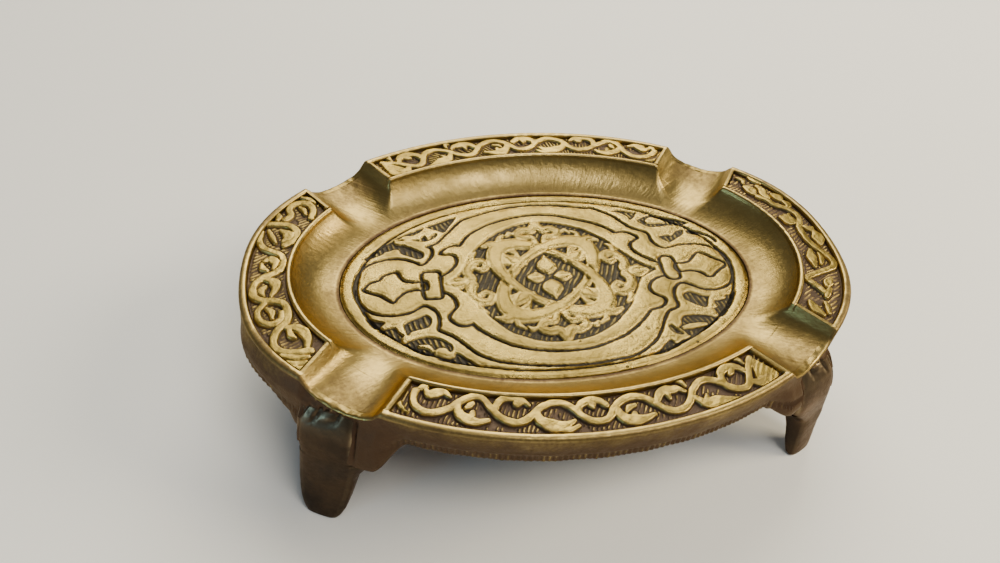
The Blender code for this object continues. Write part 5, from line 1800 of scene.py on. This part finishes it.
@dataclass
class Leg:
    """One cast leg: knee, shoulder ledge, shank and flat pad.

    The knee table has rows of height share, width share and power of the section. The shank table
    has height share, reach, drift, depth, width and power, from the shoulder down.
    """

    oval: Oval
    corner: Corner
    finish: BrassFinish
    shape: LegShape
    shoulder: float = 12.2
    knee_top: float = 20.25
    knee_width: float = 8.4
    knee_reach: float = 3.0
    knee_back: float = 2.7
    shank_depth: float = 5.7
    points: int = 128
    knee_rows: int = 44
    knee: Tuple[Tuple[float, ...], ...] = (
        (0.00, 1.00, 4.5), (0.35, 1.03, 4.5), (0.68, 1.04, 4.5), (0.86, 1.01, 4.2),
        (1.00, 0.96, 3.6))
    shank: Tuple[Tuple[float, ...], ...] = (
        (1.000, 0.00, 0.00, 1.28, 1.08, 4.5), (0.820, 0.08, 0.25, 1.06, 1.05, 4.2),
        (0.650, 0.18, 0.45, 0.78, 1.02, 4.0), (0.490, 0.33, 0.60, 0.62, 0.98, 3.8),
        (0.330, 0.54, 0.75, 0.51, 0.91, 3.6), (0.180, 0.79, 0.88, 0.46, 0.81, 3.2),
        (0.065, 0.97, 0.97, 0.39, 0.68, 3.0), (0.016, 1.00, 1.00, 0.32, 0.57, 2.8),
        (0.000, 0.95, 1.00, 0.27, 0.50, 2.6))

    def _knee_sections(self) -> List[Tuple[float, ...]]:
        """Sections of the closed top and of the knee, from the top down.

        Returns:
            Height, reach, drift, depth, width, power and fill of each.
        """
        shares, widths, powers = np.array(self.knee).T
        top_reach = 0.06 * self.knee_reach
        rows = [(self.knee_top, top_reach, 0.0, self.knee_back + top_reach,
                 0.96 * self.knee_width, 3.6, fill) for fill in (0.0, 0.5, 0.85, 0.97)]
        for share in np.linspace(1.0, 0.0, self.knee_rows):
            reach = self.knee_reach * (1.0 - 0.94 * float(share) ** 2.6)
            rows.append((self.shoulder + (self.knee_top - self.shoulder) * share, reach, 0.0,
                         self.knee_back + reach,
                         self.knee_width * float(np.interp(share, shares, widths)),
                         float(np.interp(share, shares, powers)), 1.0))
        return rows

    def _shank_sections(self) -> List[Tuple[float, ...]]:
        """Sections of the shank and of the closed pad, from the shoulder down.

        Returns:
            Height, reach, drift, depth, width, power and fill of each.
        """
        table = np.array(self.shank)[::-1]
        shares = np.concatenate([np.linspace(1.0, 0.2, 40), np.linspace(0.19, 0.0, 22)])
        smooth = np.linspace(0.0, 1.0, 401)
        keep = ease(smooth, 0.02, 0.12)
        columns = []
        for column in table.T[1:]:
            raw = np.interp(smooth, table[:, 0], column)
            padded = np.concatenate([2 * raw[0] - raw[20:0:-1], raw, 2 * raw[-1] - raw[-2:-22:-1]])
            eased = np.convolve(padded, np.ones(41) / 41, mode="valid")
            columns.append(np.interp(shares, smooth, raw * (1 - keep) + eased * keep))
        rows = []
        for share, reach, drift, depth, width, power in zip(shares, *columns):
            rows.append((self.shoulder * share,
                         self.knee_reach + (self.shape.toe_reach - self.knee_reach) * reach,
                         self.shape.toe_drift * drift, self.shank_depth * depth,
                         self.knee_width * width, power, 1.0))
        return rows + [rows[-1][:6] + (fill,) for fill in (0.9, 0.5, 0.0)]

    def _slimmed(self, height: Array, drift: Array, width: Array, across: Array) -> Pair:
        """Narrow the shank from its inner side.

        Args:
            height: Height of each section.
            drift: Sideways place of each section.
            width: Width of each section.
            across: Sideways places of the points from the middle of their section.

        Returns:
            The new drift and the new places across.
        """
        share = 1.0 - ease(height, 7.5, 13.5)
        narrow = self.shape.slim * (1.0 - 0.12 * (1.0 - ease(height, 0.0, 0.5)))
        edge = drift + width / 2 + (2.2 + narrow / 2 - drift - width / 2) * share
        shaped = width + (narrow - width) * share
        return edge - shaped / 2, across * shaped / width

    def build(self) -> Piece:
        """Model the leg.

        Returns:
            The finished leg.
        """
        name = self.corner.value[0]
        rows = np.array(self._knee_sections() + self._shank_sections())
        turn = np.linspace(0.0, 2.0 * math.pi, self.points + 1)
        cosine, sine = np.cos(turn)[None, :], np.sin(turn)[None, :]
        height, reach, drift, depth, width, power, fill = (column[:, None] for column in rows.T)
        out = depth / 2 * np.sign(cosine) * np.abs(cosine) ** (2.0 / power)
        across = width / 2 * np.sign(sine) * np.abs(sine) ** (2.0 / power)
        out = reach - depth / 2 + out * fill
        if self.shape.slim:
            drift, across = self._slimmed(height, drift, width, across)
        side = drift + across * fill
        z = np.broadcast_to(height, out.shape).copy()
        seed = 50 + list(Corner).index(self.corner)
        waves = Unevenness(seed).over(out, side, z, 2.6)
        bumps = Unevenness(seed + 8).over(out, side, z, 0.8)
        body = (fill > 0.99) & (z > 0.25)
        front = ease(cosine, 0.05, 0.5)
        groove = chips(side, z)
        swell = np.where(body, 0.07 * waves + 0.03 * bumps, 0.0) - groove * front
        flared = ease(z, 7.6, self.shoulder) * (z < self.shoulder + 0.01) * ease(-side, 1.0, 3.4)
        side = side - self.shape.flare * flared * (1.0 - ease(out, 1.4, 2.6))
        if self.shape.slim:
            side = side - 0.45 * ease(side, 1.5, 4.0) * ease(z, 11.0, 15.0)
        side = side + self.shape.widen * ease(side, 0.5, 3.5)
        out = out + swell * cosine
        side = side + swell * sine
        x, y = self.oval.from_leg(self.corner, out, side)
        knee = ease(z, self.shoulder - 1.0, self.shoulder + 2.0)
        # The chips' right walls get a painted highlight in the rubbed colour.
        lit = np.clip((chips(side + CHIP_GLINT, z) - groove) * 3.0, 0.0, 1.0)
        lit = lit * front * ease(bumps, -0.5, 0.2)
        # The top of the knee is painted lighter: painted highlight.
        lit_crown = ease(z, 16.0, 19.0) * front
        # A painted highlight runs down the joint line at the side of the leg, broken up.
        seam_highlight = np.exp(-((side + 3.9) / 0.28) ** 2) * ease(z, self.shoulder, 14.0)
        seam_highlight = seam_highlight * front * ease(bumps, -0.3, 0.3)
        patina_and_shade = 0.40 + 0.14 * waves + 0.9 * groove - 0.1 * knee - 0.4 * lit - 0.2 * lit_crown
        edges = np.where(body, 0.12 * ease(np.abs(cosine * sine), 0.44, 0.5), 0.0)
        wear_and_glint = edges + 0.8 * lit + 0.6 * seam_highlight + 0.22 * lit_crown
        piece = sheet_of("foot_" + name, np.stack([x, y, z], axis=-1) * MM)
        keep_value(piece, "patina_and_shade", np.clip(patina_and_shade, 0.0, 1.0))
        keep_value(piece, "wear_and_glint", np.clip(wear_and_glint, 0.0, 1.0))
        keep_value(piece, "pitted", np.zeros(z.shape))
        close_up(piece, 50.0)
        return seat(piece, self.finish, "leg_" + name)


# ---------------------------------------------------------------- studio

@dataclass(frozen=True)
class Camera:
    """The camera at the photograph's viewing angle.

    Turn, rise and roll are in radians. Aim gives the sideways places of the point it looks at and
    the distance from it, and scale brings them to millimetres.
    """

    turn: float = -0.217825079
    rise: float = 0.773343629
    roll: float = 0.0812928881
    scale: float = 0.81
    aim: Tuple[float, float, float] = (-11.829255, -6.78358601, 143.425117)
    level: float = 0.024
    lens: float = 27.0

    def place(self) -> Piece:
        """Add the camera and make it the scene's.

        Returns:
            The camera.
        """
        back = Vector((math.sin(self.turn) * math.cos(self.rise),
                       -math.cos(self.turn) * math.cos(self.rise), math.sin(self.rise)))
        aim = Vector((self.aim[0] * self.scale * MM, self.aim[1] * self.scale * MM, self.level))
        spot = aim + back * self.aim[2] * self.scale * MM
        right = (-back).cross(Vector((0.0, 0.0, 1.0))).normalized()
        up = right.cross(-back)
        turned_right = right * math.cos(self.roll) + up * math.sin(self.roll)
        turned_up = -right * math.sin(self.roll) + up * math.cos(self.roll)
        matrix = Matrix.Identity(4)
        for index, column in enumerate((turned_right, turned_up, back, spot)):
            matrix.col[index][:3] = column
        data = bpy.data.cameras.new("photo_camera")
        data.lens = self.lens
        data.sensor_width = 36.0
        data.clip_start = 0.001
        camera = bpy.data.objects.new("photo_camera", data)
        bpy.context.scene.collection.objects.link(camera)
        camera.matrix_world = matrix
        bpy.context.scene.camera = camera
        return camera


@dataclass(frozen=True)
class Softbox:
    """One soft area light."""

    name: str
    spot: Tuple[float, float, float]
    size: float
    power: float
    colour: Tuple[float, float, float]

    def place(self) -> Piece:
        """Add the light, aimed at the tray.

        Returns:
            The light.
        """
        data = bpy.data.lights.new(self.name, "AREA")
        data.energy = self.power
        data.color = self.colour
        data.shape = "DISK"
        data.size = self.size
        light = bpy.data.objects.new(self.name, data)
        bpy.context.scene.collection.objects.link(light)
        light.location = self.spot
        beam = Vector((0.0, 0.0, 0.015)) - Vector(self.spot)
        light.rotation_euler = beam.to_track_quat("-Z", "Y").to_euler()
        return light


@dataclass(frozen=True)
class Studio:
    """Pale floor, soft lights and the world's light."""

    floor_size: float = 1.6
    floor_tones: Tuple[Colour, Colour] = ((0.86, 0.86, 0.85, 1.0), (0.90, 0.89, 0.88, 1.0))
    world: Colour = (0.30, 0.30, 0.29, 1.0)
    world_strength: float = 0.60
    lights: Tuple[Softbox, ...] = (
        Softbox("window_light", (0.09, 0.50, 0.50), 0.56, 5.2, (1.0, 0.93, 0.75)),
        Softbox("near_light", (0.22, -0.30, 0.70), 0.40, 2.9, (1.0, 0.95, 0.84)),
        Softbox("cool_light", (-0.42, -0.20, 0.10), 0.10, 0.50, (0.25, 0.50, 0.70)),
        Softbox("warm_light", (0.46, -0.06, 0.32), 0.24, 2.7, (1.0, 0.86, 0.58)),
    )

    def build(self) -> None:
        """Add the floor, the lights and the world."""
        bpy.ops.object.select_all(action="DESELECT")
        bpy.ops.mesh.primitive_plane_add(size=self.floor_size)
        floor = bpy.context.object
        floor.name = "studio_floor"
        made = bpy.data.materials.new("pale_floor")
        made.use_nodes = True
        graph = Graph(made.node_tree)
        shader = made.node_tree.nodes["Principled BSDF"]
        place = graph.add("ShaderNodeTexCoord").outputs["Object"]
        tone = graph.mixed(graph.noise(place, 6.0, 2.0), *self.floor_tones)
        made.node_tree.links.new(tone, shader.inputs["Base Color"])
        shader.inputs["Roughness"].default_value = 0.7
        floor.data.materials.append(made)
        for light in self.lights:
            light.place()
        world = bpy.data.worlds.new("soft_world")
        bpy.context.scene.world = world
        world.use_nodes = True
        background = world.node_tree.nodes["Background"]
        background.inputs["Color"].default_value = self.world
        background.inputs["Strength"].default_value = self.world_strength


# ---------------------------------------------------------------- assembly

# Polished, shaded, rubbed and dirty brass of each kind of piece; the rubbed colours also paint
# highlights and the dirty ones paint shade
TRAY_FINISH = BrassFinish(
    "tray_brass_finish", (0.37, 0.270, 0.094, 1), (0.23, 0.166, 0.056, 1), (0.62, 0.46, 0.165, 1),
    (0.064, 0.036, 0.0215, 1), roughness=0.28, grain=0.9, streaks=1.0, bump=0.6)
PLAQUE_FINISH = BrassFinish(
    "plaque_brass_finish", (0.40, 0.294, 0.082, 1), (0.23, 0.168, 0.046, 1), (0.78, 0.59, 0.20, 1),
    (0.040, 0.036, 0.030, 1), roughness=0.24, grain=1.9, bump=1.2)
STRIP_FINISH = BrassFinish(
    "strip_brass_finish", (0.44, 0.318, 0.082, 1), (0.27, 0.195, 0.050, 1), (0.72, 0.53, 0.19, 1),
    (0.080, 0.055, 0.041, 1), roughness=0.28, grain=1.3, bump=1.0)
# The leg colours are dark patina, made darker still as painted shade that stands in for the dark
# surroundings the legs reflect.
LEG_PATINA_AND_SHADE = BrassFinish(
    "leg_brass_patina_and_shade", (0.066, 0.044, 0.028, 1), (0.034, 0.025, 0.018, 1), (0.26, 0.200, 0.120, 1),
    (0.020, 0.014, 0.010, 1), roughness=0.30, grain=1.0, bump=0.6, edge_tint=(0.86, 0.74, 0.64, 1))


def main() -> None:
    """Build the ashtray's looks and the studio."""
    logging.basicConfig(level=logging.INFO, format="%(message)s")
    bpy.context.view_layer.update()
    Camera().place()
    oval = Oval()
    tray = Tray(oval, TRAY_FINISH).build()
    join_to(tray, [Boss(oval, corner).build() for corner in Corner])
    Medallion(PLAQUE_FINISH).build()
    for side in Side:
        Strip(oval, side, STRIP_FINISH).build()
    for corner in Corner:
        Leg(oval, corner, LEG_PATINA_AND_SHADE, LEG_SHAPES[corner]).build()
    Studio().build()


if __name__ == "__main__":
    main()
